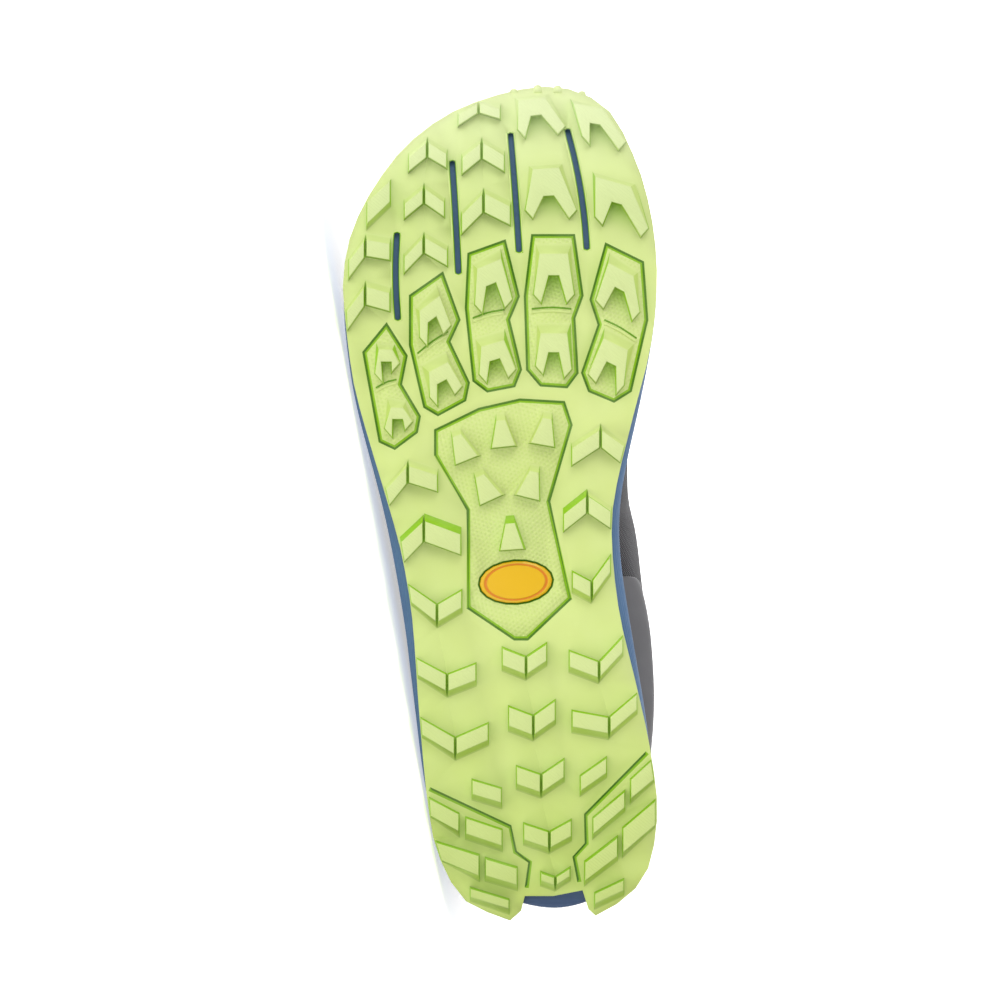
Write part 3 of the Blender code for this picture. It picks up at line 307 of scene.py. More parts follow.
# The tread
treadSizes = {
    "lugHeight": 4.2 * mm, "topFrom": 0.93, "topFacing": 0.7,
    "edgeRound": 0.30 * mm, "turnFrom": 20.0, "flatBelow": 2.0, "sharpFrom": 38.0,
}
rimSizes = {
    "slotRadius": 0.50 * mm, "slotOut": 0.12 * mm, "slotSink": 0.34 * mm,
    "slotInside": 0.05 * mm, "slotShadePaint": -0.24,
    "stepRadius": 0.55 * mm, "stepSink": 0.10 * mm, "stepBow": 0.5 * mm,
    "ribRadius": 1.5 * mm, "ribHeight": 1.25 * mm, "ribSink": 0.15 * mm,
    "ribLow": 25.0 * mm, "ribHigh": 34.0 * mm, "ribPoints": 6, "ahead": 400 * mm,
}
# The five pods under the ball and the middle panel, point by point along and across
podLoops = [
    [(0.709, -0.428), (0.673, -0.367), (0.639, -0.385), (0.601, -0.325), (0.583, -0.334),
     (0.564, -0.402), (0.572, -0.447), (0.677, -0.498)],
    [(0.770, -0.251), (0.716, -0.199), (0.690, -0.231), (0.641, -0.169), (0.621, -0.180),
     (0.604, -0.264), (0.613, -0.305), (0.686, -0.350), (0.744, -0.350)],
    [(0.809, -0.053), (0.744, -0.010), (0.716, -0.041), (0.657, -0.003), (0.638, -0.023),
     (0.632, -0.106), (0.644, -0.148), (0.730, -0.172), (0.794, -0.164)],
    [(0.816, 0.039), (0.816, 0.167), (0.745, 0.193), (0.718, 0.167), (0.653, 0.177),
     (0.637, 0.145), (0.639, 0.064), (0.657, 0.023), (0.744, 0.016)],
    [(0.805, 0.273), (0.784, 0.386), (0.716, 0.399), (0.632, 0.347), (0.620, 0.296),
     (0.632, 0.219), (0.653, 0.198), (0.710, 0.251), (0.740, 0.225)],
    [(0.584, -0.270), (0.609, -0.132), (0.620, -0.003), (0.617, 0.135), (0.591, 0.158),
     (0.500, 0.087), (0.385, 0.156), (0.337, 0.020), (0.337, -0.020), (0.374, -0.167),
     (0.490, -0.167), (0.555, -0.270)]]
# Low steps across the pods, between their two lugs: along, across at each end
podSteps = [
    (0.635, -0.462, 0.645, -0.396), (0.676, -0.330, 0.702, -0.232),
    (0.718, -0.154, 0.728, -0.052), (0.729, 0.034, 0.729, 0.160), (0.716, 0.265, 0.694, 0.368)]
# A step is a dark line of painted shade and a pale ridge beside it: shift, share of the radius,
# painted shade as a relief below 0
stepLines = [(0.0, 0.62, -0.20), (-1.2 * mm, 1.1, 0.0)]
toeRibs = [-2.5 * mm, 6.1 * mm, 13.3 * mm, 22.0 * mm]     # across

# Tones of the lime rubber: its own ones (base, top, cloud, comb), painted shade in recesses and on
# shaded walls, and painted light on lit walls and at the toe's end
limeTones = {
    "deep": tone(74, 132, 0), "groove": tone(122, 178, 0), "edge": tone(160, 204, 30),
    "base": tone(213, 229, 146), "wall": tone(190, 215, 105), "top": tone(211, 226, 156),
    "heelward": tone(112, 156, 8), "toeward": tone(216, 233, 150), "hollow": tone(140, 192, 8),
    "grooveDark": tone(76, 128, 0), "grooveBright": tone(146, 202, 0),
    "toe": tone(240, 248, 206), "cloud": tone(228, 240, 180), "comb": tone(184, 214, 96),
}
limeShares = {
    "heelward": 0.85, "toeward": 0.75, "hollow": 0.8, "toe": 0.45, "cloud": 0.12, "comb": 0.25,
}
limeSizes = {
    "hollowCurve": 1.4, "toeFrom": 0.93, "toeFade": 0.09, "topFrom": 0.93, "topFade": 0.04,
    "hatchLean": 0.8, "hatchTurns": 5.2, "hatchDepth": 0.05,
    "combPitch": 1.35, "combTurn": 0.3, "combDepth": 0.03, "grainDepth": 0.03,
}


def limeRubber():
    finish = Finish("limeRubber", 0.52)
    size, tones, shares = limeSizes, limeTones, limeShares
    where = finish.place()
    x, y, _ = finish.axes(where)
    relief = finish.attribute("relief")
    # Colour by height, with painted shade: deeper greens in the grooves, at their edges and on the
    # lugs' walls
    colour = finish.ramp((relief + 0.5) / 1.6, [
        (0.16, tones["deep"]), (0.22, tones["groove"]), (0.28, tones["edge"]),
        (0.30, tones["base"]), (0.34, tones["base"]), (0.50, tones["wall"]),
        (0.86, tones["wall"]), (0.93, tones["top"])])
    # Painted shade on walls that face the heel, painted light on walls that face the toe
    for name in ("heelward", "toeward"):
        colour = finish.mix(finish.attribute(name) * shares[name], colour, tones[name])
    # Painted shade: vivid green in the hollows between a lug's legs
    hollow = finish.attribute("hollow") ** size["hollowCurve"] * shares["hollow"]
    colour = finish.mix(hollow, colour, tones["hollow"])
    # Painted shade on the pod-facing wall of each groove, painted light in bright green on the
    # other walls and cuts
    for name in ("grooveDark", "grooveBright"):
        colour = finish.mix(finish.attribute(name), colour, tones[name])
    # Painted light and shade along the shoe: darker toward the heel, paler at the toe's end
    share = x / (length / mm)
    along = finish.ramp(share, [
        (0.0, tone(228, 233, 190)), (0.3, tone(250, 249, 240)), (0.65, tone(253, 251, 246)),
        (0.85, tone(247, 247, 246))])
    toeEnd = share.above(size["toeFrom"], size["toeFade"]) * shares["toe"]
    colour = finish.node("ShaderNodeMix", {"data_type": "RGBA", "blend_type": "MULTIPLY"},
                         {"Factor": 1.0, 6: colour, 7: along}, 2)
    colour = finish.mix(toeEnd, colour, tones["toe"])
    cloud = finish.noise(where, 0.06, 2.0)
    colour = finish.mix(cloud.above(0.55, 0.25) * shares["cloud"], colour, tones["cloud"])
    # Fine ribs on the lugs' tops, a comb of dimples in the pods, grain all over
    top = relief.above(size["topFrom"], size["topFade"])
    hatch = ((x + y * size["hatchLean"]) * size["hatchTurns"]).sine() * 0.5 + 0.5
    k = math.tau / size["combPitch"]
    angles = [size["combTurn"] + math.tau / 3 * third for third in range(3)]
    cells = [(x * (k * math.cos(a)) + y * (k * math.sin(a))).sine() for a in angles]
    comb = (cells[0] + cells[1] + cells[2]) * finish.attribute("podFloor")
    knobs = (comb * 0.3 + 0.2).above(0.5, 0.3) * shares["comb"]
    colour = finish.mix(knobs, colour, tones["comb"])
    grain = finish.noise(where, 2.6, 4.0, 0.65)
    height = (hatch * top * size["hatchDepth"] + comb * size["combDepth"]
              + grain * size["grainDepth"])
    return finish.wear(Base_Color=colour, Roughness=grain * 0.18 + 0.42,
                       Normal=finish.bump(height), Specular_IOR_Level=0.35)


def inLoop(x, y, loop):
    hit = False
    for a, b in zip(loop, loop[1:] + loop[:1]):
        if (a.y > y) != (b.y > y) and x < a.x + (y - a.y) / (b.y - a.y) * (b.x - a.x):
            hit = not hit
    return hit


def reliefOf(point):
    # 1 on the lugs' tops, 0 on the rubber between them
    size = treadSizes["lugHeight"]
    return (groundHeight(point.x) + size - point.z) / size


hollowSizes = {"raisedFrom": 0.3, "footBelow": 0.1, "shallow": 0.5 * mm, "deep": 3.5 * mm}


def paintHollowShade(bm):
    # How deep each point of a lug's foot lies between the lug's legs, the mask of painted shade
    # there
    size = hollowSizes
    hollow = bm.verts.layers.float.new("hollow")
    bm.verts.index_update()
    raised = {f for f in bm.faces if any(reliefOf(v.co) > size["raisedFrom"] for v in f.verts)}
    while raised:
        lug, fresh = set(), [raised.pop()]
        while fresh:
            face = fresh.pop()
            lug.update(face.verts)
            near = {f for e in face.edges for f in e.link_faces} & raised
            raised -= near
            fresh.extend(near)
        foot = [v for v in sorted(lug, key=lambda v: v.index)
                if abs(reliefOf(v.co)) < size["footBelow"]]
        if len(foot) < 4:
            continue
        hull = [foot[k].co.xy for k in convex_hull_2d([v.co.xy for v in foot])]
        for v in foot:
            spots = [intersect_point_line(v.co.xy, a, b)[0].xy
                     for a, b in zip(hull, hull[1:] + hull[:1])]
            gap = min((spot - v.co.xy).length for spot in spots)
            v[hollow] = ease((gap - size["shallow"]) / size["deep"])


# Heights are shares of a lug's, facings are parts of a face's unit direction
paintSizes = {
    "sunkBelow": 0.2, "lowest": -0.5, "highest": 1.1, "steepFrom": 0.75, "steepFade": 0.2,
    "sideFrom": 0.1, "sideTo": 0.99, "gentle": 0.6, "gentleFade": 0.5, "toeHalf": 0.5,
    "toeFacing": 0.2, "splitFacing": 0.35, "splitLightPaint": 0.9,
    "grooveLow": -0.30, "grooveHigh": -0.06, "grooveReach": 1.2 * mm,
    "wallFlattest": 0.9, "wallSteepest": 0.3, "padsTo": 0.25, "padsLean": 0.5,
    "floorFacing": 0.8, "floorLevel": 0.1,
}


def paintTread(bm):
    # Heights of the tread's points for its colour ramp, masks of painted shade and painted light on
    # its faces, and the pods' floors
    size = paintSizes
    relief = bm.verts.layers.float.new("relief")
    names = ("podFloor", "heelward", "toeward", "grooveDark", "grooveBright")
    for name in names:
        bm.faces.layers.float.new(name)
    podFloor, heelward, toeward, grooveDark, grooveBright = (
        bm.faces.layers.float[name] for name in names)
    loops = [[plan(*p) for p in loop] for loop in podLoops]
    for v in bm.verts:
        sunk = all(f.normal.z < size["sunkBelow"] for f in v.link_faces)
        v[relief] = min(max(reliefOf(v.co), size["lowest"] if sunk else 0.0), size["highest"])
    for face in bm.faces:
        middle, normal = face.calc_center_median(), face.normal
        height, upright = reliefOf(middle), abs(normal.z)
        side = size["sideFrom"] < height < size["sideTo"]
        steep = 1 - ease((upright - size["steepFrom"]) / size["steepFade"])
        gentle = 1 - size["gentle"] * ease(upright / size["gentleFade"])
        # Walls that face the heel get painted shade
        face[heelward] = steep * gentle * ease(-normal.x) * side
        # Walls that face the toe get painted light: pale on the toe half and bright green on the
        # heel half
        if middle.x > size["toeHalf"] * length:
            face[toeward] = steep * ease(normal.x) * side
        else:
            face[grooveBright] = float(side and normal.x > size["toeFacing"])
        # The walls of the cuts along the shoe get painted light too, in bright green
        if side and upright < size["splitFacing"] and abs(normal.x) < size["splitFacing"]:
            face[grooveBright] = size["splitLightPaint"]
        # A groove's wall that faces the pod gets painted shade, the other one painted light
        if (size["grooveLow"] < height < size["grooveHigh"]
                and size["wallSteepest"] < -normal.z < size["wallFlattest"]):
            flat = Vector((normal.x, normal.y, 0.0))
            ahead = middle + flat.normalized() * size["grooveReach"]
            if middle.x < size["padsTo"] * length:
                facesPod = flat.y * math.copysign(1, middle.y) > size["padsLean"] * flat.x
            else:
                facesPod = any(inLoop(ahead.x, ahead.y, loop) for loop in loops)
            face[grooveDark if facesPod else grooveBright] = 1.0
        if normal.z < -size["floorFacing"] and abs(height) < size["floorLevel"]:
            face[podFloor] = float(any(inLoop(middle.x, middle.y, loop) for loop in loops))


def turned(edge, angle):
    # Whether the surface turns at an edge by more than an angle in degrees
    return len(edge.link_faces) == 2 and edge.calc_face_angle() > math.radians(angle)


def makeTread():
    size = treadSizes
    bm = cadCopy("outsole", quads=False)
    high = {v for v in bm.verts if reliefOf(v.co) > size["topFrom"]}
    tops = [f for f in bm.faces if high.issuperset(f.verts) and f.normal.z < -size["topFacing"]]
    bmesh.ops.dissolve_faces(bm, faces=tops, use_verts=False)
    high = {v for v in bm.verts if reliefOf(v.co) > size["topFrom"]}
    corners = [e for e in bm.edges if len(high.intersection(e.verts)) == 1
               and not turned(e, size["flatBelow"])]
    bmesh.ops.dissolve_edges(bm, edges=corners, use_verts=False, use_face_split=False)
    rims = [e for e in bm.edges if high.issuperset(e.verts) and turned(e, size["turnFrom"])]
    bmesh.ops.bevel(bm, geom=rims, offset=size["edgeRound"], offset_type="OFFSET",
                    affect="EDGES", segments=2, profile=0.5, material=-1, clamp_overlap=True)
    bmesh.ops.recalc_face_normals(bm, faces=bm.faces)
    paintTread(bm)
    paintHollowShade(bm)
    return placed(bm, "treadRubber", [limeRubber()], ["outsole"],
                  sharp=size["sharpFrom"])


def chains(edges, bridged=0.0):
    # Closed runs of points along edges that meet end to end, but for a gap of some length
    rings = []
    edges = list(edges)
    while edges:
        ring = list(edges.pop().verts)
        for _ in range(2):
            step = True
            while step:
                step = next((e for e in edges if ring[-1] in e.verts), None)
                if step:
                    ring.append(step.other_vert(ring[-1]))
                    edges.remove(step)
            ring.reverse()
        if ring[0] == ring[-1]:
            rings.append([v.co.copy() for v in ring[:-1]])
        elif (ring[0].co - ring[-1].co).length < bridged:
            rings.append([v.co.copy() for v in ring])
    return rings


slotSizes = {
    "wallFacing": 0.1, "level": 0.05, "floorFacing": 0.7, "shortest": 20 * mm, "longest": 60 * mm,
}


def slotRings():
    # The slots' edges on the tread, each as a closed run of points
    size = slotSizes
    bm = cadCopy("outsole", quads=False)
    walls = {f for f in bm.faces if abs(f.normal.z) < size["wallFacing"]
             and all(reliefOf(v.co) < size["level"] for v in f.verts)}
    edges = [e for e in bm.edges if len(walls.intersection(e.link_faces)) == 1
             and all(reliefOf(v.co) > -size["level"] for v in e.verts)
             and any(f.normal.z < -size["floorFacing"] for f in e.link_faces)]
    rings = chains(edges)
    bm.free()
    return [ring for ring in rings
            if size["shortest"] < max(p.x for p in ring) - min(p.x for p in ring) < size["longest"]]


def slotLips(bm, relief):
    # Rounded lips along the slots' edges, with painted shade in dark green on their inner side
    size = rimSizes
    for ring in slotRings():
        area = sum(a.x * b.y - b.x * a.y for a, b in zip(ring, ring[1:] + ring[:1]))
        ways = [(b - a).normalized() * math.copysign(1, area)
                for a, b in zip(ring[-1:] + ring[:-1], ring[1:] + ring[:1])]
        outs = [Vector((way.y, -way.x, 0)) for way in ways]
        path = [p + out * size["slotOut"] + upward * size["slotSink"]
                for p, out in zip(ring, outs)]
        path = smoothPath(path, 2, True)
        before = set(bm.verts)
        sweep(bm, path, [(size["slotRadius"],) * 2] * len(path), [upward] * len(path), 8, True)
        for v in set(bm.verts) - before:
            k = min(range(len(path)), key=lambda k: (path[k] - v.co).length_squared)
            if (v.co - path[k]).dot(outs[k // 2]) < -size["slotInside"]:
                v[relief] = size["slotShadePaint"]


def podLines(bm, relief):
    # The steps across the pods, each as two low rods
    size = rimSizes
    for nearAlong, nearAcross, farAlong, farAcross in podSteps:
        for shift, share, stepShadePaint in stepLines:
            a, b = plan(nearAlong, nearAcross), plan(farAlong, farAcross)
            bow = (a + b) / 2 + Vector((size["stepBow"], 0, 0))
            path = smoothPath([a, bow, b], 6)
            for p in path:
                p.x += shift
                p.z = groundHeight(p.x) + treadSizes["lugHeight"] + size["stepSink"]
            half = size["stepRadius"] * share
            before = set(bm.verts)
            sweep(bm, path, [(half, half)] * len(path), [upward] * len(path), 8)
            # The dark rod's green is painted shade
            for v in set(bm.verts) - before:
                v[relief] = stepShadePaint


def ribsAtToe(bm):
    # Upright ribs on the rubber that turns up over the toe's end
    size = rimSizes
    outsole = cadCopy("outsole", quads=False)
    walls = BVHTree.FromBMesh(outsole)
    outsole.free()
    for across in toeRibs:
        path = []
        for k in range(size["ribPoints"]):
            z = size["ribLow"] + (size["ribHigh"] - size["ribLow"]) * k / (size["ribPoints"] - 1)
            hit = walls.ray_cast(Vector((size["ahead"], across, z)), Vector((-1, 0, 0)))[0]
            if hit:
                path.append(hit - Vector((size["ribSink"], 0, 0)))
        sweep(bm, path, [(size["ribRadius"], size["ribHeight"])] * len(path),
              [Vector((1, 0, 0))] * len(path), 12)


def makeTreadRims():
    # One piece of the slots' lips, the pods' steps and the toe's ribs
    bm = bmesh.new()
    relief = bm.verts.layers.float.new("relief")
    slotLips(bm, relief)
    podLines(bm, relief)
    ribsAtToe(bm)
    bmesh.ops.recalc_face_normals(bm, faces=bm.faces)
    return placed(bm, "treadRims", [bpy.data.materials["limeRubber"]])


inlaySizes = {
    "ringAlong": 0.404, "ringAcross": -0.016, "ringTurn": 86.0, "ringLong": 13.0, "ringWide": 7.5,
    "ringFrom": 0.80, "ringTo": 0.88, "ringSoft": 0.02, "ringDepth": 0.2,
    "creaseFrom": 20.0, "creaseRound": 0.15 * mm, "sharpFrom": 35.0,
}


def amberPlastic():
    finish = Finish("amberInlay", 0.32)
    size = inlaySizes
    where = finish.place()
    x, y, _ = finish.axes(where)
    # A sunk oval ring of a deeper tone
    lean = math.radians(size["ringTurn"])
    middle = plan(size["ringAlong"], size["ringAcross"]) / mm
    dx, dy = x - middle.x, y - middle.y
    u = (dx * math.cos(lean) + dy * math.sin(lean)) / size["ringLong"]
    v = (dy * math.cos(lean) - dx * math.sin(lean)) / size["ringWide"]
    radius = (u * u + v * v) ** 0.5
    band = (radius.above(size["ringFrom"], size["ringSoft"])
            * (1 - radius.above(size["ringTo"], size["ringSoft"])))
    colour = finish.mix(band, tone(232, 182, 0), tone(220, 124, 0))
    grain = finish.noise(where, 3.0)
    return finish.wear(Base_Color=colour, Roughness=grain * 0.1 + 0.26, Coat_Weight=0.1,
                       Normal=finish.bump(grain * 0.02 - band * size["ringDepth"]))


def makeInlay():
    size = inlaySizes
    bm = cadCopy("inlay")
    creases = [e for e in bm.edges if turned(e, size["creaseFrom"])]
    bmesh.ops.bevel(bm, geom=creases, offset=size["creaseRound"], offset_type="OFFSET",
                    affect="EDGES", segments=2, profile=0.5, material=-1, clamp_overlap=True)
    return placed(bm, "inlayPlate", [amberPlastic()], ["inlay"],
                  sharp=size["sharpFrom"])


# Heights and lengths in millimetres
foamSizes = {
    "shadeTop": 14.0, "shadeSoft": 3.0, "shadeEnd": 22.0, "shadeFade": 14.0, "shade": 0.8,
    "linesTop": 17.0, "linesTurns": 7.5, "linesDepth": 0.10,
}


def makeMidsole():
    finish = Finish("blueFoam", 0.6)
    size = foamSizes
    where = finish.place()
    x, _, z = finish.axes(where)
    cloud = finish.noise(where, 0.05, 2.0)
    colour = finish.mix(cloud, tone(66, 100, 140), tone(84, 120, 160))
    # Painted shade under the heel's end, a darker blue, with fine lines low on the walls
    shade = ((1 - z.above(size["shadeTop"], size["shadeSoft"]))
             * (1 - x.above(size["shadeEnd"], size["shadeFade"])) * size["shade"])
    colour = finish.mix(shade, colour, tone(44, 62, 98))
    pores = finish.noise(where, 3.5, 4.0, 0.7)
    lines = (((z * size["linesTurns"]).sine() * 0.5 + 0.5)
             * (1 - z.above(size["linesTop"], 1.0)) * size["linesDepth"])
    foam = finish.wear(Base_Color=colour, Roughness=pores * 0.2 + 0.5,
                       Normal=finish.bump(lines + pores * 0.06))
    bm = cadCopy("midsole")
    return placed(bm, "midsoleFoam", [foam], ["midsole"], levels=2)


# The upper and what is on it
girthSizes = {"middleUp": 30.0, "radius": 45.0}


def girthMap(bm):
    # UV in millimetres: along the shoe, and round it
    size = girthSizes
    layer = bm.loops.layers.uv.new("cloth")
    for face in bm.faces:
        for loop in face.loops:
            p = loop.vert.co / mm
            loop[layer].uv = (p.x, math.atan2(p.y, p.z - size["middleUp"]) * size["radius"])


clothSizes = {"weave": 0.40, "cloud": 0.8, "depth": 0.15, "sheen": 0.25}


def wovenCloth(name, dark, light, pitch, roughness):
    size = clothSizes
    finish = Finish(name, roughness, size["sheen"])
    uv = finish.node("ShaderNodeUVMap", {"uv_map": "cloth"})
    u, v, _ = finish.axes(uv)
    k = math.tau / pitch
    weave = (u * k).sine() * (v * k).sine()
    cloud = finish.noise(finish.place(), 0.09, 3.0)
    colour = finish.mix(weave * size["weave"] + cloud * size["cloud"], dark, light)
    return finish.wear(Base_Color=colour, Roughness=weave * 0.05 + roughness,
                       Normal=finish.bump(weave * size["depth"]))


def plainSkin(name, dark, light, roughness, grainDepth=0.04, scale=2.5):
    finish = Finish(name, roughness)
    where = finish.place()
    grain = finish.noise(where, scale, 4.0, 0.6)
    cloud = finish.noise(where, 0.08, 2.0)
    return finish.wear(Base_Color=finish.mix(cloud, dark, light),
                       Roughness=grain * 0.15 + roughness - 0.07,
                       Normal=finish.bump(grain * grainDepth))


def makeUpper():
    cloth = wovenCloth("greyCloth", tone(38, 37, 40), tone(82, 80, 84), 1.1, 0.82)
    lining = wovenCloth("liningMesh", tone(20, 20, 22), tone(44, 44, 47), 1.6, 0.9)
    bm = cadCopy("upper")
    girthMap(bm)
    for face in bm.faces:
        face.material_index = 0 if isOuter(face) else 1
    return placed(bm, "upperCloth", [cloth, lining], ["upper"], levels=2)


def makeOverlays():
    film = plainSkin("greyFilm", tone(84, 83, 86), tone(102, 101, 104), 0.45)
    facing = plainSkin("blackFacing", tone(24, 24, 26), tone(38, 38, 41), 0.55, 0.08)
    made = {}
    for node, name, slot, finish in (
            ("toe_guard", "toeGuardFilm", "overlay_grey", film),
            ("heel_counter", "heelCounterFilm", "overlay_grey", film),
            ("lace_facing", "laceFacingSkin", "overlay_black", facing)):
        made[node] = placed(cadCopy(node), name, [finish], [node], levels=2)
    return made


def surfaceOf(piece):
    # A finished piece's rounded surface, in the shoe's directions
    copy = bmesh.new()
    copy.from_object(piece, bpy.context.evaluated_depsgraph_get())
    bmesh.ops.transform(copy, matrix=toShoe, verts=copy.verts)
    surface = BVHTree.FromBMesh(copy)
    copy.free()
    return surface


# A line within the foot, that faces are judged from
coreSizes = {
    "heelEnd": 60 * mm, "toeEnd": 250 * mm, "lowFrom": 190 * mm, "high": 48 * mm, "low": 36 * mm,
}


def isOuter(face):
    # Whether a face of a thin skin looks away from the foot
    size = coreSizes
    p = face.calc_center_median()
    core = Vector((min(max(p.x, size["heelEnd"]), size["toeEnd"]), 0.0,
                   size["high"] if p.x < size["lowFrom"] else size["low"]))
    return face.normal.dot(p - core) > 0


edgeSizes = {"upperTurn": 40.0, "skinTurn": 30.0, "skin": 1.6 * mm, "gap": 15 * mm, "fewest": 20}


def outerRims(name):
    # Closed edges of a CAD skin's outer side, next to the narrow faces of its thickness
    size = edgeSizes
    bm = cadCopy(name)
    if name == "upper":
        edges = [e for e in bm.edges if turned(e, size["upperTurn"])
                 and any(isOuter(f) for f in e.link_faces)]
    else:
        sides = {f for f in bm.faces if min(e.calc_length() for e in f.edges) < size["skin"]}
        edges = [e for e in bm.edges if turned(e, size["skinTurn"])
                 and len(sides.intersection(e.link_faces)) == 1
                 and any(isOuter(f) for f in e.link_faces if f not in sides)]
    rings = chains(edges, size["gap"])
    bm.free()
    return [ring for ring in rings if len(ring) > size["fewest"]]


stitchSizes = {
    "pitch": 2.8 * mm, "long": 1.05 * mm, "wide": 0.32 * mm, "lift": 0.16 * mm, "smooth": 4,
}


def insetRow(path, normals, surface, inset):
    # A path moved sideways over a surface, with the surface's directions, and how far off it was
    count, reach = len(path), stitchSizes["smooth"]
    row, off = [], 0.0
    for k, p in enumerate(path):
        way = path[(k + reach) % count] - path[k - reach]
        normal = sum((normals[(k + j) % count] for j in range(-reach, reach + 1)), Vector())
        side = normal.cross(way).normalized()
        spot, normal, _, away = surface.find_nearest(p + side * inset)
        row.append((spot, normal))
        off += away
    return off, row


def stitchRow(bm, ring, surface, inset):
    # Stitches a little way inside the edge that a ring follows: of its two sides, the one
    # that stays nearer the surface
    size = stitchSizes
    path = smoothPath(ring, 6, True)
    count = len(path)
    normals = [surface.find_nearest(p)[1] for p in path]
    rows = [insetRow(path, normals, surface, inset * sign) for sign in (1, -1)]
    row = min(rows, key=lambda r: r[0])[1]
    run = 0.0
    for k, (a, normal) in enumerate(row):
        b = row[(k + 1) % count][0]
        step = (b - a).length
        run += step
        if run < size["pitch"] or step < weldReach:
            continue
        run -= size["pitch"]
        way = (row[(k + 2) % count][0] - row[k - 2][0]).normalized()
        side = normal.cross(way).normalized()
        lying = Matrix((way, side, way.cross(side))).transposed().to_4x4()
        lying.translation = a + normal * size["lift"]
        bmesh.ops.create_icosphere(
            bm, subdivisions=1, radius=1.0,
            matrix=lying @ Matrix.Diagonal((size["long"], size["wide"], size["wide"], 1.0)))


stitchInsets = {"upper": 6.0 * mm, "lace_facing": 1.9 * mm}


def makeStitches(pieces):
    thread = plainSkin("greyThread", tone(128, 128, 132), tone(150, 150, 154), 0.8, 0.02, 6.0)
    bm = bmesh.new()
    for node, piece in pieces.items():
        surface = surfaceOf(piece)
        rings = outerRims(node)
        if node == "upper":      # only the collar, the highest of its rims
            rings = [max(rings, key=lambda r: sum(p.z for p in r) / len(r))]
        for ring in rings:
            stitchRow(bm, ring, surface, stitchInsets[node])
    bmesh.ops.recalc_face_normals(bm, faces=bm.faces)
    return placed(bm, "threadStitches", [thread])


def makeInsole():
    knit = wovenCloth("insoleKnit", tone(22, 22, 24), tone(48, 48, 52), 1.4, 0.9)
    bm = cadCopy("insole", quads=False)
    layer = bm.loops.layers.uv.new("cloth")
    for face in bm.faces:
        for loop in face.loops:
            loop[layer].uv = loop.vert.co.xy / mm
    return placed(bm, "insolePad", [knit], ["insole"], sharp=40)


def makeTongue():
    knit = wovenCloth("tongueMesh", tone(24, 24, 26), tone(56, 56, 60), 1.4, 0.9)
    bm = cadCopy("tongue")
    girthMap(bm)
    piece = placed(bm, "tonguePadding", [knit], ["tongue"], levels=2)
    return piece


# Eyelets and laces
def eyeletAt(side, number):
    # Middle and outward direction of an eyelet, read off its CAD ring
    mesh = cad[f"eyelet_{side}_{number}"].data
    middle = toShoe @ (sum((v.co for v in mesh.vertices), Vector()) / len(mesh.vertices))
    widest = max(mesh.polygons, key=lambda p: p.area)
    axis = (toShoe.to_3x3() @ widest.normal).normalized()
    return middle, axis if axis.z > 0 else -axis


eyeletSizes = {
    "count": 5, "radius": 2.6 * mm, "thick": 0.8 * mm, "low": 0.5 * mm, "sides": 10, "steps": 24,
}


def makeEyelets():
    size = eyeletSizes
    enamel = plainSkin("eyeletEnamel", tone(60, 60, 63), tone(78, 78, 82), 0.35, 0.01)
    bm = bmesh.new()
    names = []
    for side in ("outer", "inner"):
        for number in range(1, size["count"] + 1):
            middle, axis = eyeletAt(side, number)
            across = axis.orthogonal().normalized()
            lying = Matrix((across, axis, across.cross(axis))).transposed().to_4x4()
            lying.translation = middle + across * size["radius"]
            section = bmesh.ops.create_circle(
                bm, segments=size["sides"], radius=1.0,
                matrix=lying @ Matrix.Diagonal((size["thick"], size["low"], 1, 1)))
            bmesh.ops.spin(bm, geom=section["verts"] + edgesOf(section["verts"]), cent=middle,
                           axis=axis, angle=math.tau, steps=size["steps"], use_merge=True)
            names.append(f"eyelet_{side}_{number}")
    bmesh.ops.recalc_face_normals(bm, faces=bm.faces)
    return placed(bm, "eyeletRings", [enamel], names)


laceSizes = {
    "width": 5.6 * mm, "thick": 1.3 * mm, "holeWidth": 2.6 * mm, "holeThick": 2.08 * mm,
    "room": 1.3 * mm, "bow": 3.6 * mm, "crossing": 1.5 * mm, "lift": 0.2 * mm, "liftShare": 0.3,
    "under": 2.0 * mm, "out": 1.3 * mm, "outShare": 0.02, "over": 1.9 * mm, "overShare": 0.14,
    "hidden": 0.11, "widening": 0.28, "endShare": 0.12, "endTurn": 0.9, "probe": 20,
}
braidPitch = 1.1


def laceBraid():
    finish = Finish("laceBraid", 0.85, 0.3)
    where = finish.place()
    x, y, z = finish.axes(where)
    k = math.tau / braidPitch
    braid = ((x + y + z) * k).sine() * ((x - y + z) * k).sine()
    colour = finish.mix(braid * 0.5 + 0.5, tone(24, 24, 26), tone(62, 62, 66))
    return finish.wear(Base_Color=colour, Normal=finish.bump(braid * 0.12))


def clearOf(point, out, surfaces):
    # A point moved outward until it stands clear of the skins, found from some millimetres off
    room, probe = laceSizes["room"], laceSizes["probe"]
    for surface in surfaces:
        hit = surface.ray_cast(point + out * probe * mm, -out, 2 * probe * mm)[0]
        if hit:
            point = point + out * max(0.0, (hit - point).dot(out) + room)
    return point


def lacePath(a, axisA, b, axisB, lift, surfaces):
    # From inside one eyelet over the tongue into another, clear of what lies below
    size = laceSizes
    span, over = b - a, size["over"] + lift * size["liftShare"]
    middle = (a + b) / 2 + upward * (size["bow"] + lift)
    knots = [a - axisA * size["under"], a + axisA * size["out"] + span * size["outShare"],
             a + axisA * over + span * size["overShare"], middle,
             b + axisB * over - span * size["overShare"],
             b + axisB * size["out"] - span * size["outShare"], b - axisB * size["under"]]
    path = smoothPath(knots, 6)
    hidden = int(len(path) * size["hidden"])
    outs = [axisA.lerp(axisB, k / (len(path) - 1)).normalized() for k in range(len(path))]
    for k in range(hidden, len(path) - hidden):
        path[k] = clearOf(path[k], outs[k], surfaces)
    eased = [(a + b * 2 + c) / 4 for a, b, c in zip(path, path[1:], path[2:])]
    return path[:1] + eased + path[-1:]


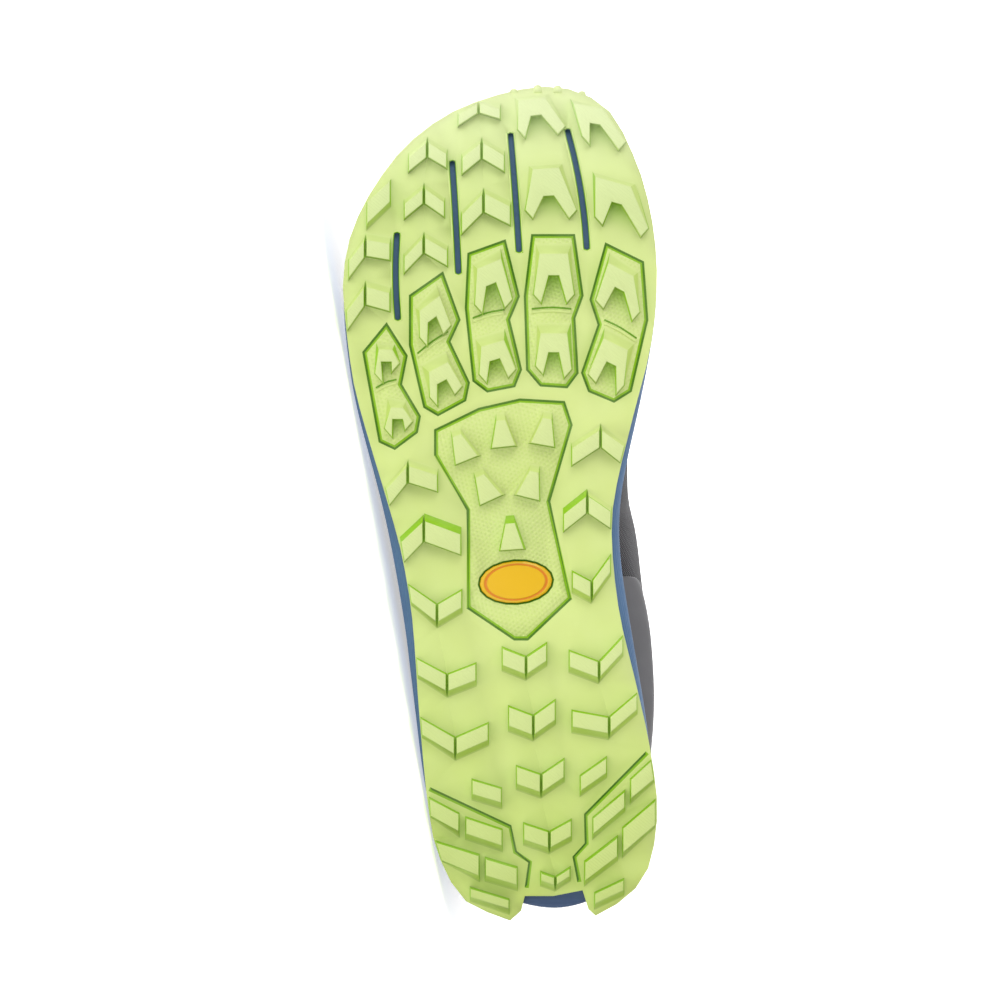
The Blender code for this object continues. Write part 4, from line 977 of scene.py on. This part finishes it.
def layLace(bm, path, axisA, axisB, span):
    # The flat lace along a path: narrow in the eyelets, and turned into them at its ends
    size = laceSizes
    sizes, ups = [], []
    for k in range(len(path)):
        share = k / (len(path) - 1)
        spread = ease(min(share, 1 - share) / size["widening"])
        width = size["holeWidth"] + (size["width"] - size["holeWidth"]) * spread
        thick = size["holeThick"] + (size["thick"] - size["holeThick"]) * spread
        sizes.append((width / 2, thick / 2))
        end = size["endTurn"] * ((share < size["endShare"]) - (share > 1 - size["endShare"]))
        ups.append((axisA.lerp(axisB, share) + span.normalized() * end).normalized())
    sweep(bm, path, sizes, ups, 10)


def makeLaces(under):
    size = laceSizes
    bm = bmesh.new()
    surfaces = [surfaceOf(piece) for piece in under]
    last = eyeletSizes["count"]
    spots = {(side, n): eyeletAt(side, n) for side in ("outer", "inner")
             for n in range(1, last + 1)}
    runs = [("outer", 1, 1, 0.0)]
    for number in range(1, last):
        runs.append(("outer", number, number + 1, size["lift"]))
        runs.append(("inner", number, number + 1, size["lift"] + size["crossing"]))
    for side, near, far, lift in runs:
        other = "inner" if side == "outer" else "outer"
        a, axisA = spots[side, near]
        b, axisB = spots[other, far]
        path = lacePath(a, axisA, b, axisB, lift, surfaces)
        layLace(bm, path, axisA, axisB, b - a)
    bmesh.ops.recalc_face_normals(bm, faces=bm.faces)
    return placed(bm, "laceRibbons", [laceBraid()], ["laces"])


makeTread()
makeTreadRims()
makeInlay()
print("tread made")
makeMidsole()
makeInsole()
upper = makeUpper()
overlays = makeOverlays()
facing = overlays["lace_facing"]
makeStitches({"upper": upper, "lace_facing": facing})
tongue = makeTongue()
makeEyelets()
makeLaces([tongue, facing])
print("upper and laces made")


# Floor, lights and camera
stageSizes = {
    "lens": 200.0, "frameWidth": 356.0 * mm, "middle": (150.5, -7.5),
    "half": 3.0, "wallHeight": 3.0, "coveRadius": 1.2, "glow": 0.50, "worldGlow": 0.45,
}
# Where each light stands, seen from the shoe, its width in metres and its watts
lights = {
    "key": ((-1.6, -1.7, 0.9), 1.3, 16.5),
    "fill": ((0.9, -1.9, 0.8), 1.6, 3.0),
    "top": ((0.0, -0.1, 2.4), 3.0, 24.0),
}
backdropLight = {"spot": (0.0, 1.2, 1.5), "target": (0.0, 3.0, 1.0), "size": 2.0, "power": 60.0}


def makeStage():
    size = stageSizes
    finish = Finish("paleFloor", 0.9)
    cloud = finish.noise(finish.node("ShaderNodeTexCoord", output="Object"), 0.8)
    colour = finish.mix(cloud, tone(238, 238, 238), tone(242, 242, 242))
    floorPaint = finish.wear(Base_Color=colour, Emission_Color=(1.0, 1.0, 1.0),
                             Emission_Strength=size["glow"])
    # A grid whose far edge goes up as a wall, with a rounded corner between the two
    bm = bmesh.new()
    bmesh.ops.create_grid(bm, x_segments=1, y_segments=1, size=size["half"])
    back = [e for e in bm.edges if all(v.co.y > 0 for v in e.verts)]
    wall = bmesh.ops.extrude_edge_only(bm, edges=back)["geom"]
    raised = [g for g in wall if isinstance(g, bmesh.types.BMVert)]
    bmesh.ops.translate(bm, vec=upward * size["wallHeight"], verts=raised)
    bmesh.ops.bevel(bm, geom=back, offset=size["coveRadius"], offset_type="OFFSET",
                    affect="EDGES", segments=16, profile=0.5, material=-1)
    mesh = bpy.data.meshes.new("floor")
    bm.to_mesh(mesh)
    bm.free()
    mesh.materials.append(floorPaint)
    mesh.shade_smooth()
    floor = bpy.data.objects.new("floor", mesh)
    bpy.context.scene.collection.objects.link(floor)


def softLight(name, spot, target, size, power):
    data = bpy.data.lights.new(name, "AREA")
    data.shape = "DISK"
    data.size = size
    data.energy = power
    light = bpy.data.objects.new(name, data)
    light.location = spot
    light.rotation_euler = (Vector(target) - Vector(spot)).to_track_quat("-Z", "Y").to_euler()
    bpy.context.scene.collection.objects.link(light)


def makeCamera():
    middle = shoeMatrix @ (Vector((*stageSizes["middle"], 0.0)) * mm)
    data = bpy.data.cameras.new("camera")
    data.lens = stageSizes["lens"]
    distance = data.lens / data.sensor_width * stageSizes["frameWidth"]
    camera = bpy.data.objects.new("camera", data)
    camera.matrix_world = Matrix((shoeInner, shoeToe, -shoeUp)).transposed().to_4x4()
    camera.location = middle - shoeUp * distance
    bpy.context.scene.collection.objects.link(camera)
    bpy.context.scene.camera = camera
    return middle


makeStage()
aim = makeCamera()
for name, (spot, size, power) in lights.items():
    softLight(name, aim + Vector(spot), aim, size, power)
softLight("backdrop", **backdropLight)
world = bpy.data.worlds.new("studio")
world.use_nodes = True
background = world.node_tree.nodes["Background"].inputs
background["Color"].default_value = (1.0, 1.0, 1.0, 1.0)
background["Strength"].default_value = stageSizes["worldGlow"]
bpy.context.scene.world = world
bpy.context.scene.view_settings.view_transform = "Standard"
print("stage made")
